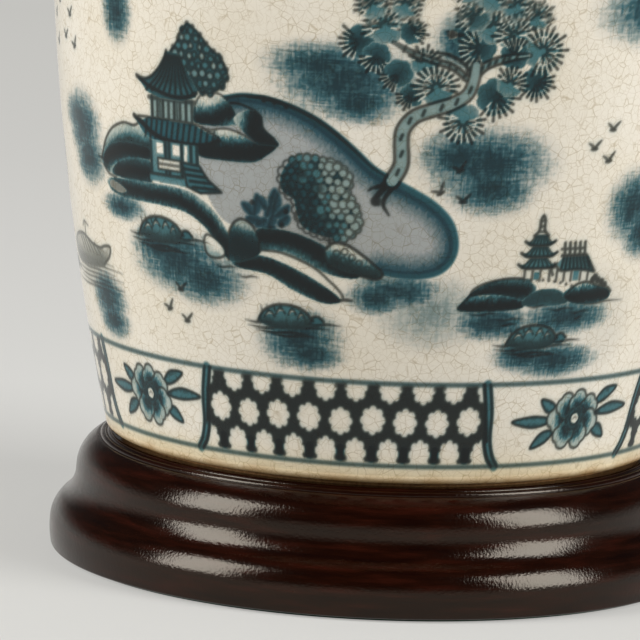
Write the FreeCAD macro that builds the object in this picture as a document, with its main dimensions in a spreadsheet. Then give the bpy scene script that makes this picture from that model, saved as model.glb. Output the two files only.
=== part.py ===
import FreeCAD, Part
import math
import os
import re
import Sketcher

# A ginger jar table lamp: a porcelain jar on a turned wooden base, threaded on one hollow rod that
# also carries the lampholder, the harp and the shade. Millimetres, +Z up. The origin is on the axis
# at the surface that the lamp stands on, the front is -Y, and the harp lies in the XZ plane.

doc = FreeCAD.newDocument("GingerJarLamp")

# ---------------------------------------------------------------- driving dimensions
SIZES = {
    # gaps
    "flat_gap": 0.1,            # between flat faces of which one turns or slides
    "slip_gap": 0.2,            # round a shaft or a sleeve
    "skin_gap": 0.3,            # between the shade's skins, trims and rings
    # hollow rod with a pipe thread, and what it is bolted up with
    "rod_radius": 4.85,
    "rod_wall": 1.65,
    "rod_end_below_nut": 0.6,
    "nut_across_corners_radius": 8.1,
    "nut_thickness": 4.2,
    "washer_radius": 14.0,
    "washer_thickness": 1.5,
    # felt under the base
    "felt_inset": 3.6,
    "felt_thickness": 1.0,
    # turned wooden base: widths outwards from the jar's foot, and rises upwards from its underside;
    # a turn is the angle that a curve of the moulding sweeps, in degrees
    "recess_radius": 62.0,
    "recess_depth": 15.6,
    "band_corner": 0.8,
    "band_taper": 0.4,
    "band_rise": 7.0,
    "band_turn": 14.0,
    "nose_width": 3.8,
    "nose_rise": 7.9,
    "nose_turn": 51.0,
    "cove_width": 3.7,
    "cove_rise": 8.0,
    "cove_turn": 49.6,
    "wall_flare": 0.1,
    "wall_rise": 1.5,
    "torus_width": 6.0,
    "torus_rise": 9.0,
    "torus_turn": 58.9,
    "bead_land": 0.9,
    "bead_width": 1.95,
    "outer_bead_rise": 1.0,
    "outer_bead_turn": 137.0,
    "inner_bead_rise": 0.6,
    "inner_bead_turn": 112.0,
    # cord outlet at the rear of the base
    "outlet_height": 5.4,
    "outlet_bore_radius": 3.2,
    "outlet_wall": 0.8,
    "outlet_lip": 0.7,
    "outlet_flange_thickness": 1.2,
    # cast disc that weights the base
    "weight_inset": 4.0,
    "weight_thickness": 8.0,
    # cork ring under the jar
    "pad_inset": 3.5,
    "pad_width": 9.0,
    "pad_thickness": 1.4,
    # porcelain jar, heights from its foot
    "foot_ring_width": 14.5,
    "foot_recess_depth": 5.0,
    "foot_corner": 2.6,
    "foot_radius": 84.1,
    "belly_radius": 106.1,
    "belly_height": 191.6,
    "shoulder_curve": 70.0,
    "lid_land_margin": 2.0,
    "neck_gap": 3.8,
    "neck_height": 14.0,
    "jar_wall": 6.0,
    "jar_floor": 7.0,
    "jar_hole_radius": 8.0,
    # plug that centres the rod in the jar's bottom hole
    "bushing_flange_width": 7.0,
    "bushing_flange_thickness": 3.0,
    # porcelain lid
    "lid_radius": 52.0,
    "lid_wall": 4.2,
    "lid_skirt_height": 22.0,
    "lid_corner_curve": 10.0,
    "lid_corner_turn": 66.0,
    "lid_dome_curve": 115.0,
    "lid_hole_radius": 5.6,
    # brass cap and neck on the lid
    "cap_radius": 24.0,
    "cap_rim_height": 1.6,
    "cap_height": 8.0,
    "cap_dome_curve": 26.0,
    "cap_top_radius": 10.0,
    "neck_tube_height": 30.0,
    "neck_tube_radius": 7.6,
    "neck_bead_height": 3.0,
    "neck_bead_turn": 110.0,
    "neck_waist_turn": 26.0,
    # harp saddle, heights from its underside
    "saddle_thickness": 1.2,
    "saddle_width": 9.0,
    "saddle_flat_half": 14.0,
    "saddle_rise": 12.0,
    "saddle_tab": 9.0,
    "saddle_post_height": 5.0,
    # harp
    "harp_wire_radius": 1.6,
    "harp_foot_half_span": 26.5,
    "harp_straight": 22.0,
    "harp_lean": 30.0,
    "harp_elbow_curve": 18.0,
    "harp_side_curve": 170.0,
    "harp_arch_curve": 110.0,
    "harp_arch_turn": 40.0,
    # sleeves that lock the harp to the saddle
    "ferrule_wall": 1.8,
    "ferrule_length": 12.0,
    # threaded stud brazed on the harp
    "stud_boss_radius": 5.0,
    "stud_boss_height": 4.0,
    "stud_radius": 3.1,
    "stud_length": 14.0,
    # lampholder for a medium screw cap, heights from the underside of its cap
    "socket_hub_radius": 6.8,
    "socket_hub_height": 6.0,
    "socket_cap_flare_height": 12.0,
    "socket_flare_turn": 28.0,
    "socket_cap_height": 20.0,
    "socket_cap_wall": 0.8,
    "shell_radius": 17.2,
    "shell_wall": 0.6,
    "shell_height": 42.0,
    "shell_lap": 6.4,
    "liner_wall": 0.8,
    "interior_height": 18.0,
    "screw_shell_wall": 0.4,
    "screw_shell_height": 23.0,
    "contact_width": 5.0,
    "contact_thickness": 0.6,
    "contact_length": 10.0,
    "contact_height": 3.0,
    "terminal_screw_radius": 2.8,
    "terminal_head_thickness": 1.4,
    "terminal_shank_radius": 1.6,
    "terminal_length": 5.0,
    # turn key of the switch
    "key_stem_radius": 2.0,
    "key_stem_start": 3.0,
    "key_height": 26.0,
    "key_knob_radius": 6.0,
    "key_knob_length": 11.0,
    "key_knob_stand_off": 4.0,
    "key_flat_half": 2.6,
    # bulb
    "bulb_cap_radius": 12.6,
    "bulb_thread_gap": 0.8,
    "bulb_cap_height": 23.0,
    "bulb_cap_taper": 2.4,
    "bulb_contact_radius": 4.6,
    "bulb_contact_height": 2.4,
    "bulb_neck_height": 6.0,
    "bulb_cheek_height": 38.0,
    "bulb_cheek_turn": 14.0,
    "bulb_radius": 30.0,
    "bulb_centre_height": 52.0,
    "bulb_wall": 1.0,
    # tapered drum shade
    "shade_bottom_radius": 200.0,
    "shade_top_radius": 142.0,
    "shade_height": 238.0,
    "fabric_thickness": 0.9,
    "shade_liner_thickness": 0.7,
    "trim_height": 9.0,
    "trim_thickness": 0.9,
    "shade_wire_radius": 1.6,
    "shade_ring_inset": 3.0,
    "spider_hub_radius": 11.0,
    "spider_hub_gap": 0.3,
    "spider_hub_thickness": 1.6,
    "spider_drop": 10.0,
    # finial
    "finial_foot_radius": 6.5,
    "finial_foot_height": 3.0,
    "finial_foot_turn": 60.0,
    "finial_waist_radius": 4.6,
    "finial_waist_height": 7.5,
    "finial_waist_turn": 38.0,
    "finial_ball_radius": 9.0,
    "finial_collar_radius": 3.6,
    "finial_hole_depth": 14.6,
    "finial_tip_height": 31.0,
    "finial_tip_radius": 1.8,
    "finial_tip_turn": 28.0,
}
SPIDER_ARM_ANGLES = {"rear": 90, "left": 210, "right": 330}

sheet = doc.addObject("Spreadsheet::Sheet", "Sizes")
for row, (alias, size) in enumerate(SIZES.items(), start=1):
    sheet.set(f"A{row}", alias)
    sheet.set(f"B{row}", str(size))
    sheet.setAlias(f"B{row}", alias)
doc.recompute()


# ---------------------------------------------------------------- working with the sheet
def on_sheet(formula):
    """The formula with each size's name pointed at its cell."""
    return re.sub(r"[a-z_]+", lambda word: f"Sizes.{word[0]}" if word[0] in SIZES else word[0], str(formula))


def worth(formula):
    """The formula's present value."""
    return float(sheet.evalExpression(on_sheet(formula)))


def bind(thing, **formulas):
    """Binds each named property of a thing to its formula."""
    for name, formula in formulas.items():
        thing.setExpression(name, on_sheet(formula))


def place(thing, x="0", y="0", z="0", yaw="0", pitch="0", roll="0"):
    """Binds a thing's Placement: where its own origin goes, and how it is turned, in degrees."""
    thing.setExpression("Placement", on_sheet(
        f"create(<<placement>>; create(<<vector>>; {x}; {y}; {z}); "
        f"create(<<rotation>>; {yaw}; {pitch}; {roll}))"))
    return thing


# ---------------------------------------------------------------- sketches
def add_point_rules(sketch, geometry, vertex, x, y):
    """Ties one vertex of a sketch to its two formulas, measured from the sketch's origin."""
    for kind, formula in (("DistanceX", x), ("DistanceY", y)):
        index = sketch.addConstraint(Sketcher.Constraint(kind, -1, 1, geometry, vertex, worth(formula)))
        sketch.setExpression(f"Constraints[{index}]", on_sheet(formula))


def arc_between(start, end, bend):
    """The arc from start to end with the radius |bend|: a positive bend turns left, a negative one
    right."""
    chord = end - start
    radius = abs(bend)
    rise = math.sqrt(max(radius ** 2 - (chord.Length / 2) ** 2, 0))
    aside = FreeCAD.Vector(-chord.y, chord.x, 0).normalize() * rise
    centre = (start + end) / 2 + (aside if bend > 0 else -aside)
    first, last = (start, end) if bend > 0 else (end, start)
    angles = [math.atan2(point.y - centre.y, point.x - centre.x) for point in (first, last)]
    circle = Part.Circle(centre, FreeCAD.Vector(0, 0, 1), radius)
    return Part.ArcOfCircle(circle, angles[0], angles[1])


def draw(sketch, path, closed=True):
    """Draws a path of (x, y) or (x, y, bend) steps, each a pair of formulas: a third formula makes the
    step that arrives there an arc of that radius, turning left if positive and right if negative."""
    corners = [FreeCAD.Vector(worth(step[0]), worth(step[1]), 0) for step in path]
    count = len(path)
    for number in range(count if closed else count - 1):
        arrive = (number + 1) % count
        start, end = corners[number], corners[arrive]
        if len(path[arrive]) == 2:
            line = sketch.addGeometry(Part.LineSegment(start, end), False)
            add_point_rules(sketch, line, 1, path[number][0], path[number][1])
            add_point_rules(sketch, line, 2, path[arrive][0], path[arrive][1])
            continue
        bend = worth(path[arrive][2])
        arc = sketch.addGeometry(arc_between(start, end, bend), False)
        ends = (1, 2) if bend > 0 else (2, 1)
        add_point_rules(sketch, arc, ends[0], path[number][0], path[number][1])
        add_point_rules(sketch, arc, ends[1], path[arrive][0], path[arrive][1])
        radius = sketch.addConstraint(Sketcher.Constraint("Radius", arc, abs(bend)))
        sketch.setExpression(f"Constraints[{radius}]", on_sheet(f"abs({path[arrive][2]})"))


def bend(run, rise, turn):
    """The radius of an arc that turns by so many degrees over a run and a rise."""
    return f"(sqrt(({run})^2 + ({rise})^2) / (2 * sin({turn} / 2)))"


def sketch_in(body, name, plane):
    """A sketch on one of the body's own origin planes."""
    sketch = body.newObject("Sketcher::SketchObject", name)
    support = [feature for feature in body.Origin.OriginFeatures if feature.Role == plane][0]
    sketch.AttachmentSupport = [(support, "")]
    sketch.MapMode = "FlatFace"
    return sketch


def turned(name, path):
    """A body turned about its own Z axis from a closed path of (radius, height) steps."""
    body = doc.addObject("PartDesign::Body", name)
    sketch = sketch_in(body, f"{name}_outline", "XZ_Plane")
    draw(sketch, path)
    turn = body.newObject("PartDesign::Revolution", f"{name}_turn")
    turn.Profile = sketch
    turn.ReferenceAxis = (sketch, ["V_Axis"])
    turn.Angle = 360
    return body


def ring(name, inner, outer, height):
    """A turned ring of square section."""
    return turned(name, [(inner, "0"), (outer, "0"), (outer, height), (inner, height)])


def padded(name, path, plane, length):
    """A body padded to both sides of one of its planes from a closed path."""
    body = doc.addObject("PartDesign::Body", name)
    sketch = sketch_in(body, f"{name}_outline", plane)
    draw(sketch, path)
    pad = body.newObject("PartDesign::Pad", f"{name}_pad")
    pad.Profile = sketch
    pad.Midplane = True
    bind(pad, Length=length)
    return body


# ---------------------------------------------------------------- primitives and booleans
def cylinder(name, radius, height):
    solid = doc.addObject("Part::Cylinder", name)
    bind(solid, Radius=radius, Height=height)
    return solid


def torus(name, radius, wire_radius):
    solid = doc.addObject("Part::Torus", name)
    bind(solid, Radius1=radius, Radius2=wire_radius)
    return solid


def block(name, length, width, height):
    solid = doc.addObject("Part::Box", name)
    bind(solid, Length=length, Width=width, Height=height)
    return solid


def cut(name, base, *tools):
    """The base with each tool taken away in turn."""
    for number, tool in enumerate(tools):
        step = doc.addObject("Part::Cut", name if number == len(tools) - 1 else f"{name}_cut")
        step.Base = base
        step.Tool = tool
        base = step
    return base


def fuse(name, *shapes):
    joined = doc.addObject("Part::MultiFuse", name)
    joined.Shapes = list(shapes)
    return joined


nodes = {}


def piece(name, thing, **where):
    """Names a finished piece of the lamp and binds its place."""
    thing.Label = name
    nodes[name] = place(thing, **where)


# ---------------------------------------------------------------- base
PLINTH = "felt_thickness"
BEADS = "(foot_radius - foot_corner + flat_gap)"
TORUS = f"({BEADS} + 2 * bead_width + bead_land)"
WALL = f"({TORUS} + torus_width)"
COVE = f"({WALL} + wall_flare)"
NOSE = f"({COVE} + cove_width)"
BAND = f"({NOSE} + nose_width)"
NOSE_TOP = "(band_rise + nose_rise)"
COVE_TOP = f"({NOSE_TOP} + cove_rise)"
WALL_TOP = f"({COVE_TOP} + wall_rise)"
TORUS_TOP = f"({WALL_TOP} + torus_rise)"
QUIRK_TOP = f"({TORUS_TOP} + outer_bead_rise)"
SEAT_TOP = f"({QUIRK_TOP} + inner_bead_rise)"
SEAT = f"({PLINTH} + {SEAT_TOP})"
WEIGHT = "(felt_thickness + recess_depth - weight_thickness)"
WASHER = f"({WEIGHT} - washer_thickness)"
NUT = f"({WASHER} - nut_thickness)"
ROD_END = f"({NUT} - rod_end_below_nut)"
OUTLET_BARREL = "(outlet_bore_radius + outlet_wall)"
OUTLET_FLANGE = f"({OUTLET_BARREL} + outlet_lip)"
OUTLET_LENGTH = f"({BAND} - recess_radius)"

piece("base_felt", cylinder("Felt", f"{BAND} - felt_inset", "felt_thickness"))

# The section runs from the recess under the base out to its band, up the rounded nose and the cove,
# over the upper round to two fine beads, and in over the seat to the rod's hole.
plinth = turned("Plinth", [
    ("recess_radius", "0"),
    (f"{BAND} - band_taper - band_corner", "0"),
    (f"{BAND} - band_taper", "band_corner", "band_corner"),
    (BAND, "band_rise", bend("band_taper", "band_rise - band_corner", "band_turn")),
    (NOSE, NOSE_TOP, bend("nose_width", "nose_rise", "nose_turn")),
    (COVE, COVE_TOP, f"-{bend('cove_width', 'cove_rise', 'cove_turn')}"),
    (WALL, WALL_TOP),
    (TORUS, TORUS_TOP, bend("torus_width", "torus_rise", "torus_turn")),
    (f"{TORUS} - bead_land", TORUS_TOP),
    (f"{BEADS} + bead_width", QUIRK_TOP, bend("bead_width", "outer_bead_rise", "outer_bead_turn")),
    (BEADS, SEAT_TOP, bend("bead_width", "inner_bead_rise", "inner_bead_turn")),
    ("rod_radius + slip_gap", SEAT_TOP),
    ("rod_radius + slip_gap", "recess_depth"),
    ("recess_radius", "recess_depth"),
])
outlet_hole = place(cylinder("OutletHole", f"{OUTLET_BARREL} + slip_gap / 2", BAND),
                    y="recess_radius / 2", z="outlet_height", roll="-90")
flange_seat = place(cylinder("FlangeSeat", f"{OUTLET_FLANGE} + slip_gap / 2", BAND),
                    y=f"{BAND} - outlet_flange_thickness", z="outlet_height", roll="-90")
piece("base_plinth", cut("PlinthBored", plinth, outlet_hole, flange_seat), z=PLINTH)

piece("cord_bushing", turned("Bushing", [
    ("outlet_bore_radius", "0"),
    (OUTLET_BARREL, "0"),
    (OUTLET_BARREL, f"{OUTLET_LENGTH} - outlet_flange_thickness"),
    (OUTLET_FLANGE, f"{OUTLET_LENGTH} - outlet_flange_thickness"),
    (OUTLET_FLANGE, OUTLET_LENGTH),
    ("outlet_bore_radius", OUTLET_LENGTH),
]), y="recess_radius", z=f"{PLINTH} + outlet_height", roll="-90")

piece("base_weight", ring("Weight", "rod_radius + slip_gap", "recess_radius - weight_inset",
                          "weight_thickness"), z=WEIGHT)
piece("bottom_washer", ring("Washer", "rod_radius + slip_gap", "washer_radius", "washer_thickness"), z=WASHER)


def hex_nut(name):
    """A hexagon nut with its hole; the thread is left plain."""
    prism = doc.addObject("Part::Prism", f"{name}_prism")
    prism.Polygon = 6
    bind(prism, Circumradius="nut_across_corners_radius", Height="nut_thickness")
    return cut(name, prism, cylinder(f"{name}_hole", "rod_radius + slip_gap / 2", "nut_thickness"))


piece("bottom_nut", hex_nut("BottomNut"), z=NUT)

# ---------------------------------------------------------------- jar
JAR = f"({SEAT} + pad_thickness)"
FOOT_EDGE = "(foot_radius - foot_corner)"
FLOOR = "(foot_recess_depth + jar_floor)"
LAND_RADIUS = "(lid_radius + lid_land_margin)"
LAND = f"(belly_height + sqrt(shoulder_curve^2 - (shoulder_curve - belly_radius + {LAND_RADIUS})^2))"
NECK_RADIUS = "(lid_radius - lid_wall - neck_gap)"
THROAT_RADIUS = f"({NECK_RADIUS} - jar_wall)"
INNER_CURVE = "(shoulder_curve - jar_wall)"
THROAT = f"(belly_height + sqrt({INNER_CURVE}^2 - (shoulder_curve - belly_radius + {THROAT_RADIUS})^2))"


def upright_arc(foot_radius, foot_height):
    """The radius of an arc from a foot point to the belly that stands upright at the belly."""
    swell = f"(belly_radius - ({foot_radius}))"
    return f"(((belly_height - ({foot_height}))^2 + {swell}^2) / (2 * {swell}))"


PAD_RADIUS = f"({FOOT_EDGE} - pad_inset)"
piece("jar_seat_pad", ring("SeatPad", f"{PAD_RADIUS} - pad_width", PAD_RADIUS, "pad_thickness"), z=SEAT)

side_curve = upright_arc("foot_radius", "foot_corner")
inner_foot = "foot_radius - jar_wall"
piece("jar_body", turned("Jar", [
    (f"{FOOT_EDGE} - foot_ring_width", "0"),
    (FOOT_EDGE, "0"),
    ("foot_radius", "foot_corner", "foot_corner"),
    ("belly_radius", "belly_height", side_curve),
    (LAND_RADIUS, LAND, "shoulder_curve"),
    (NECK_RADIUS, LAND),
    (NECK_RADIUS, f"{LAND} + neck_height"),
    (THROAT_RADIUS, f"{LAND} + neck_height"),
    (THROAT_RADIUS, THROAT),
    ("belly_radius - jar_wall", "belly_height", f"-{INNER_CURVE}"),
    (inner_foot, FLOOR, f"-{upright_arc('foot_radius', FLOOR)}"),
    ("jar_hole_radius", FLOOR),
    ("jar_hole_radius", "foot_recess_depth"),
    (f"{FOOT_EDGE} - foot_ring_width", "foot_recess_depth"),
]), z=JAR)

piece("jar_bottom_bushing", turned("JarBushing", [
    ("rod_radius + slip_gap", "foot_recess_depth"),
    ("jar_hole_radius - slip_gap", "foot_recess_depth"),
    ("jar_hole_radius - slip_gap", FLOOR),
    ("jar_hole_radius + bushing_flange_width", FLOOR),
    ("jar_hole_radius + bushing_flange_width", f"{FLOOR} + bushing_flange_thickness"),
    ("rod_radius + slip_gap", f"{FLOOR} + bushing_flange_thickness"),
]), z=JAR)

# The lid's skirt turns over a tight corner into a wide dome, and both arcs meet in one line. The
# crown is flat where the brass cap sits.
LID = f"({JAR} + {LAND})"
corner_axis = "(lid_radius - lid_corner_curve)"
dome_axis = f"({corner_axis} - (lid_dome_curve - lid_corner_curve) * cos(lid_corner_turn))"
dome_centre = "(lid_skirt_height - (lid_dome_curve - lid_corner_curve) * sin(lid_corner_turn))"
CROWN_RADIUS = "(cap_radius + lid_land_margin)"


def lid_corner_end(curve):
    """Where a corner of this radius hands over to the dome."""
    radius = f"{corner_axis} + ({curve}) * cos(lid_corner_turn)"
    height = f"lid_skirt_height + ({curve}) * sin(lid_corner_turn)"
    return radius, height


def crown(curve):
    """The height of a dome of this radius at the edge of the flat crown."""
    return f"({dome_centre} + sqrt(({curve})^2 - ({CROWN_RADIUS} - {dome_axis})^2))"


LID_TOP = crown("lid_dome_curve")
LID_CEILING = crown("lid_dome_curve - lid_wall")
outer_corner = lid_corner_end("lid_corner_curve")
inner_corner = lid_corner_end("lid_corner_curve - lid_wall")
piece("jar_lid", turned("Lid", [
    ("lid_radius - lid_wall", "0"),
    ("lid_radius", "0"),
    ("lid_radius", "lid_skirt_height"),
    (*outer_corner, "lid_corner_curve"),
    (CROWN_RADIUS, LID_TOP, "lid_dome_curve"),
    ("lid_hole_radius", LID_TOP),
    ("lid_hole_radius", LID_CEILING),
    (CROWN_RADIUS, LID_CEILING),
    (*inner_corner, "lid_wall - lid_dome_curve"),
    ("lid_radius - lid_wall", "lid_skirt_height", "lid_wall - lid_corner_curve"),
]), z=LID)

# ---------------------------------------------------------------- rod and brasswork
BRASS_CAP = f"({LID} + {LID_TOP})"
NECK = f"({BRASS_CAP} + cap_height)"
TOP_NUT = f"({NECK} + neck_tube_height)"
SADDLE = f"({TOP_NUT} + nut_thickness)"
SOCKET = f"({SADDLE} + saddle_thickness)"
ROD_TOP = f"({SOCKET} + socket_hub_height)"

piece("threaded_rod", ring("Rod", "rod_radius - rod_wall", "rod_radius", f"{ROD_TOP} - {ROD_END}"), z=ROD_END)

piece("brass_cap", turned("BrassCap", [
    ("rod_radius + slip_gap", "0"),
    ("cap_radius", "0"),
    ("cap_radius", "cap_rim_height", "cap_rim_height"),
    ("cap_top_radius", "cap_height", "cap_dome_curve"),
    ("rod_radius + slip_gap", "cap_height"),
]), z=BRASS_CAP)

# The neck is a tube with a bead at each end and a hollowed waist.
neck_bead = bend("0", "neck_bead_height", "neck_bead_turn")
neck_waist = bend("0", "neck_tube_height - 2 * neck_bead_height", "neck_waist_turn")
piece("brass_neck", turned("BrassNeck", [
    ("rod_radius + slip_gap", "0"),
    ("neck_tube_radius", "0"),
    ("neck_tube_radius", "neck_bead_height", neck_bead),
    ("neck_tube_radius", "neck_tube_height - neck_bead_height", f"-{neck_waist}"),
    ("neck_tube_radius", "neck_tube_height", neck_bead),
    ("rod_radius + slip_gap", "neck_tube_height"),
]), z=NECK)

piece("neck_nut", hex_nut("NeckNut"), z=TOP_NUT)

# The saddle is a bent strip with a hole for the rod and a post at each end for the harp.
saddle_half_span = "(harp_foot_half_span + saddle_tab / 2)"
post_base = "(saddle_rise + saddle_thickness)"
strip = padded("SaddleStrip", [
    (f"-{saddle_half_span}", "saddle_rise"),
    (f"saddle_tab - {saddle_half_span}", "saddle_rise"),
    ("-saddle_flat_half", "0"),
    ("saddle_flat_half", "0"),
    (f"{saddle_half_span} - saddle_tab", "saddle_rise"),
    (saddle_half_span, "saddle_rise"),
    (saddle_half_span, post_base),
    (f"{saddle_half_span} - saddle_tab - saddle_thickness / 2", post_base),
    ("saddle_flat_half - saddle_thickness / 2", "saddle_thickness"),
    ("saddle_thickness / 2 - saddle_flat_half", "saddle_thickness"),
    (f"saddle_tab + saddle_thickness / 2 - {saddle_half_span}", post_base),
    (f"-{saddle_half_span}", post_base),
], "XZ_Plane", "saddle_width")
strip_pad = cylinder("SaddleDisc", "saddle_flat_half * 0.75", "saddle_thickness")
posts = [
    place(cylinder(f"SaddlePost{side}", "harp_wire_radius", "saddle_post_height + saddle_thickness"),
          x=f"{sign} * harp_foot_half_span", z="saddle_rise")
    for side, sign in (("Left", -1), ("Right", 1))
]
saddle = cut("Saddle", fuse("SaddleBlank", strip, strip_pad, *posts),
             cylinder("SaddleHole", "rod_radius + slip_gap", "saddle_thickness"))
piece("harp_saddle", saddle, z=SADDLE)

# ---------------------------------------------------------------- harp
HARP = f"({SADDLE} + {post_base} + saddle_post_height)"
elbow_x = "(harp_foot_half_span + harp_elbow_curve * (1 - cos(harp_lean)))"
elbow_z = "(harp_straight + harp_elbow_curve * sin(harp_lean))"
side_x = f"({elbow_x} + harp_side_curve * (1 - cos(harp_lean)))"
side_z = f"({elbow_z} + harp_side_curve * sin(harp_lean))"
arch_x = f"({side_x} - harp_arch_curve * (1 - cos(harp_arch_turn)))"
arch_z = f"({side_z} + harp_arch_curve * sin(harp_arch_turn))"
crown_curve = f"({arch_x} / cos(harp_arch_turn))"
crown_z = f"({arch_z} + {crown_curve} * (1 - sin(harp_arch_turn)))"

harp_body = doc.addObject("PartDesign::Body", "Harp")
harp_path = sketch_in(harp_body, "HarpPath", "XZ_Plane")
draw(harp_path, [
    ("harp_foot_half_span", "0"),
    ("harp_foot_half_span", "harp_straight"),
    (elbow_x, elbow_z, "-harp_elbow_curve"),
    (side_x, side_z, "harp_side_curve"),
    (arch_x, arch_z, "harp_arch_curve"),
    (f"-{arch_x}", arch_z, crown_curve),
    (f"-{side_x}", side_z, "harp_arch_curve"),
    (f"-{elbow_x}", elbow_z, "harp_side_curve"),
    ("-harp_foot_half_span", "harp_straight", "-harp_elbow_curve"),
    ("-harp_foot_half_span", "0"),
], closed=False)
harp_section = sketch_in(harp_body, "HarpSection", "XY_Plane")
wire_circle = harp_section.addGeometry(
    Part.Circle(FreeCAD.Vector(worth("harp_foot_half_span"), 0, 0), FreeCAD.Vector(0, 0, 1),
                worth("harp_wire_radius")), False)
add_point_rules(harp_section, wire_circle, 3, "harp_foot_half_span", "0")
wire_rule = harp_section.addConstraint(Sketcher.Constraint("Radius", wire_circle, worth("harp_wire_radius")))
harp_section.setExpression(f"Constraints[{wire_rule}]", on_sheet("harp_wire_radius"))
harp_pipe = harp_body.newObject("PartDesign::AdditivePipe", "HarpPipe")
harp_pipe.Profile = harp_section
harp_pipe.Spine = harp_path
piece("harp", harp_body, z=HARP)

FERRULE_BORE = "harp_wire_radius + slip_gap"
for side, sign in (("left", -1), ("right", 1)):
    sleeve = ring(f"Ferrule_{side}", FERRULE_BORE, f"{FERRULE_BORE} + ferrule_wall", "ferrule_length")
    piece(f"ferrule_{side}", sleeve, x=f"{sign} * harp_foot_half_span",
          z=f"{SADDLE} + {post_base} + flat_gap")

# The stud's boss is hollowed underneath to sit over the harp's wire.
STUD = f"({HARP} + {crown_z})"
stud_blank = turned("StudBlank", [
    ("0", "0"),
    ("stud_boss_radius", "0"),
    ("stud_boss_radius", "stud_boss_height"),
    ("stud_radius", "stud_boss_height"),
    ("stud_radius", "stud_boss_height + stud_length"),
    ("0", "stud_boss_height + stud_length"),
])
wire_groove = place(cylinder("WireGroove", "harp_wire_radius + flat_gap / 2", "stud_boss_radius * 3"),
                    x="-stud_boss_radius * 1.5", pitch="90")
piece("harp_top_stud", cut("Stud", stud_blank, wire_groove), z=STUD)

# ---------------------------------------------------------------- lampholder
CAP_INSIDE = "(shell_radius + slip_gap)"
CAP_OUTSIDE = f"({CAP_INSIDE} + socket_cap_wall)"
SHELL = f"({SOCKET} + socket_cap_height - shell_lap)"
cap_flare = bend(f"{CAP_OUTSIDE} - socket_hub_radius", "socket_cap_flare_height - socket_hub_height",
                 "socket_flare_turn")
piece("socket_cap", turned("SocketCap", [
    ("rod_radius + slip_gap / 2", "0"),
    ("socket_hub_radius", "0"),
    ("socket_hub_radius", "socket_hub_height"),
    (CAP_OUTSIDE, "socket_cap_flare_height", f"-{cap_flare}"),
    (CAP_OUTSIDE, "socket_cap_height"),
    (CAP_INSIDE, "socket_cap_height"),
    (CAP_INSIDE, "socket_cap_flare_height + socket_cap_wall / 2"),
    ("socket_hub_radius", "socket_hub_height + socket_cap_wall", cap_flare),
    ("rod_radius + slip_gap / 2", "socket_hub_height + socket_cap_wall"),
]), z=SOCKET)

LINER_RADIUS = "(shell_radius - shell_wall - slip_gap / 2)"
INTERIOR_RADIUS = f"({LINER_RADIUS} - liner_wall - slip_gap)"
key_hole = "key_stem_radius + slip_gap"


def key_opening(name, height):
    """A hole towards the front for the key's stem, at a height in the piece's own frame."""
    return place(cylinder(name, key_hole, "shell_radius * 1.5"), z=height, roll="90")


KEY_IN_SHELL = f"{SOCKET} + key_height - {SHELL}"
shell_tube = ring("ShellTube", "shell_radius - shell_wall", "shell_radius", "shell_height")
piece("socket_shell", cut("Shell", shell_tube, key_opening("ShellKeyHole", KEY_IN_SHELL)), z=SHELL)
liner_tube = ring("LinerTube", f"{LINER_RADIUS} - liner_wall", LINER_RADIUS, "shell_height - shell_wall * 2")
piece("socket_insulator", cut("Liner", liner_tube, key_opening("LinerKeyHole", KEY_IN_SHELL)), z=SHELL)

# The interior is moulded with a well in the middle for the centre contact, a bore for the key's
# stem, and a pocket on each side for a terminal screw.
INTERIOR = SHELL
CONTACT_SEAT = f"({INTERIOR} + interior_height)"
interior_blank = cylinder("InteriorBlank", INTERIOR_RADIUS, "interior_height")
terminal_pockets = [
    place(cylinder(f"TerminalPocket{side}", "terminal_screw_radius + slip_gap",
                   "terminal_head_thickness + slip_gap"),
          x=f"{sign} * ({INTERIOR_RADIUS} - terminal_head_thickness - slip_gap)", z="interior_height / 2",
          pitch=f"{sign} * 90")
    for side, sign in (("Left", -1), ("Right", 1))
]
terminal_bores = [
    place(cylinder(f"TerminalBore{side}", "terminal_shank_radius + slip_gap / 4",
                   "terminal_length + slip_gap"),
          x=f"{sign} * ({INTERIOR_RADIUS} - terminal_length - slip_gap)", z="interior_height / 2",
          pitch=f"{sign} * 90")
    for side, sign in (("Left", -1), ("Right", 1))
]
stem_bore = place(cylinder("StemBore", key_hole, INTERIOR_RADIUS), y="slip_gap - key_stem_start",
                  z=f"{SOCKET} + key_height - {INTERIOR}", roll="90")
piece("socket_interior", cut("Interior", interior_blank, stem_bore, *terminal_pockets, *terminal_bores),
      z=INTERIOR)


def terminal_screw(side, sign):
    """A round-headed screw, driven into the side of the interior."""
    shank = place(cylinder(f"TerminalShank{side}", "terminal_shank_radius", "terminal_length - flat_gap"),
                  x=f"{sign} * ({INTERIOR_RADIUS} - terminal_length)", pitch=f"{sign} * 90")
    head = place(cylinder(f"TerminalHead{side}", "terminal_screw_radius",
                          "terminal_head_thickness - flat_gap"),
                 x=f"{sign} * ({INTERIOR_RADIUS} - terminal_head_thickness)", pitch=f"{sign} * 90")
    return fuse(f"TerminalScrew{side}", shank, head)


screws = doc.addObject("Part::Compound", "TerminalScrews")
screws.Links = [terminal_screw(side, sign) for side, sign in (("Left", -1), ("Right", 1))]
piece("terminal_screws", screws, z=f"{INTERIOR} + interior_height / 2")

SCREW_SHELL_INSIDE = "(bulb_cap_radius + bulb_thread_gap)"
piece("socket_screw_shell", turned("ScrewShell", [
    ("contact_length / 2 + bulb_thread_gap", "0"),
    (f"{SCREW_SHELL_INSIDE} + screw_shell_wall", "0"),
    (f"{SCREW_SHELL_INSIDE} + screw_shell_wall", "screw_shell_height"),
    (SCREW_SHELL_INSIDE, "screw_shell_height"),
    (SCREW_SHELL_INSIDE, "screw_shell_wall"),
    ("contact_length / 2 + bulb_thread_gap", "screw_shell_wall"),
]), z=CONTACT_SEAT)

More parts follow.
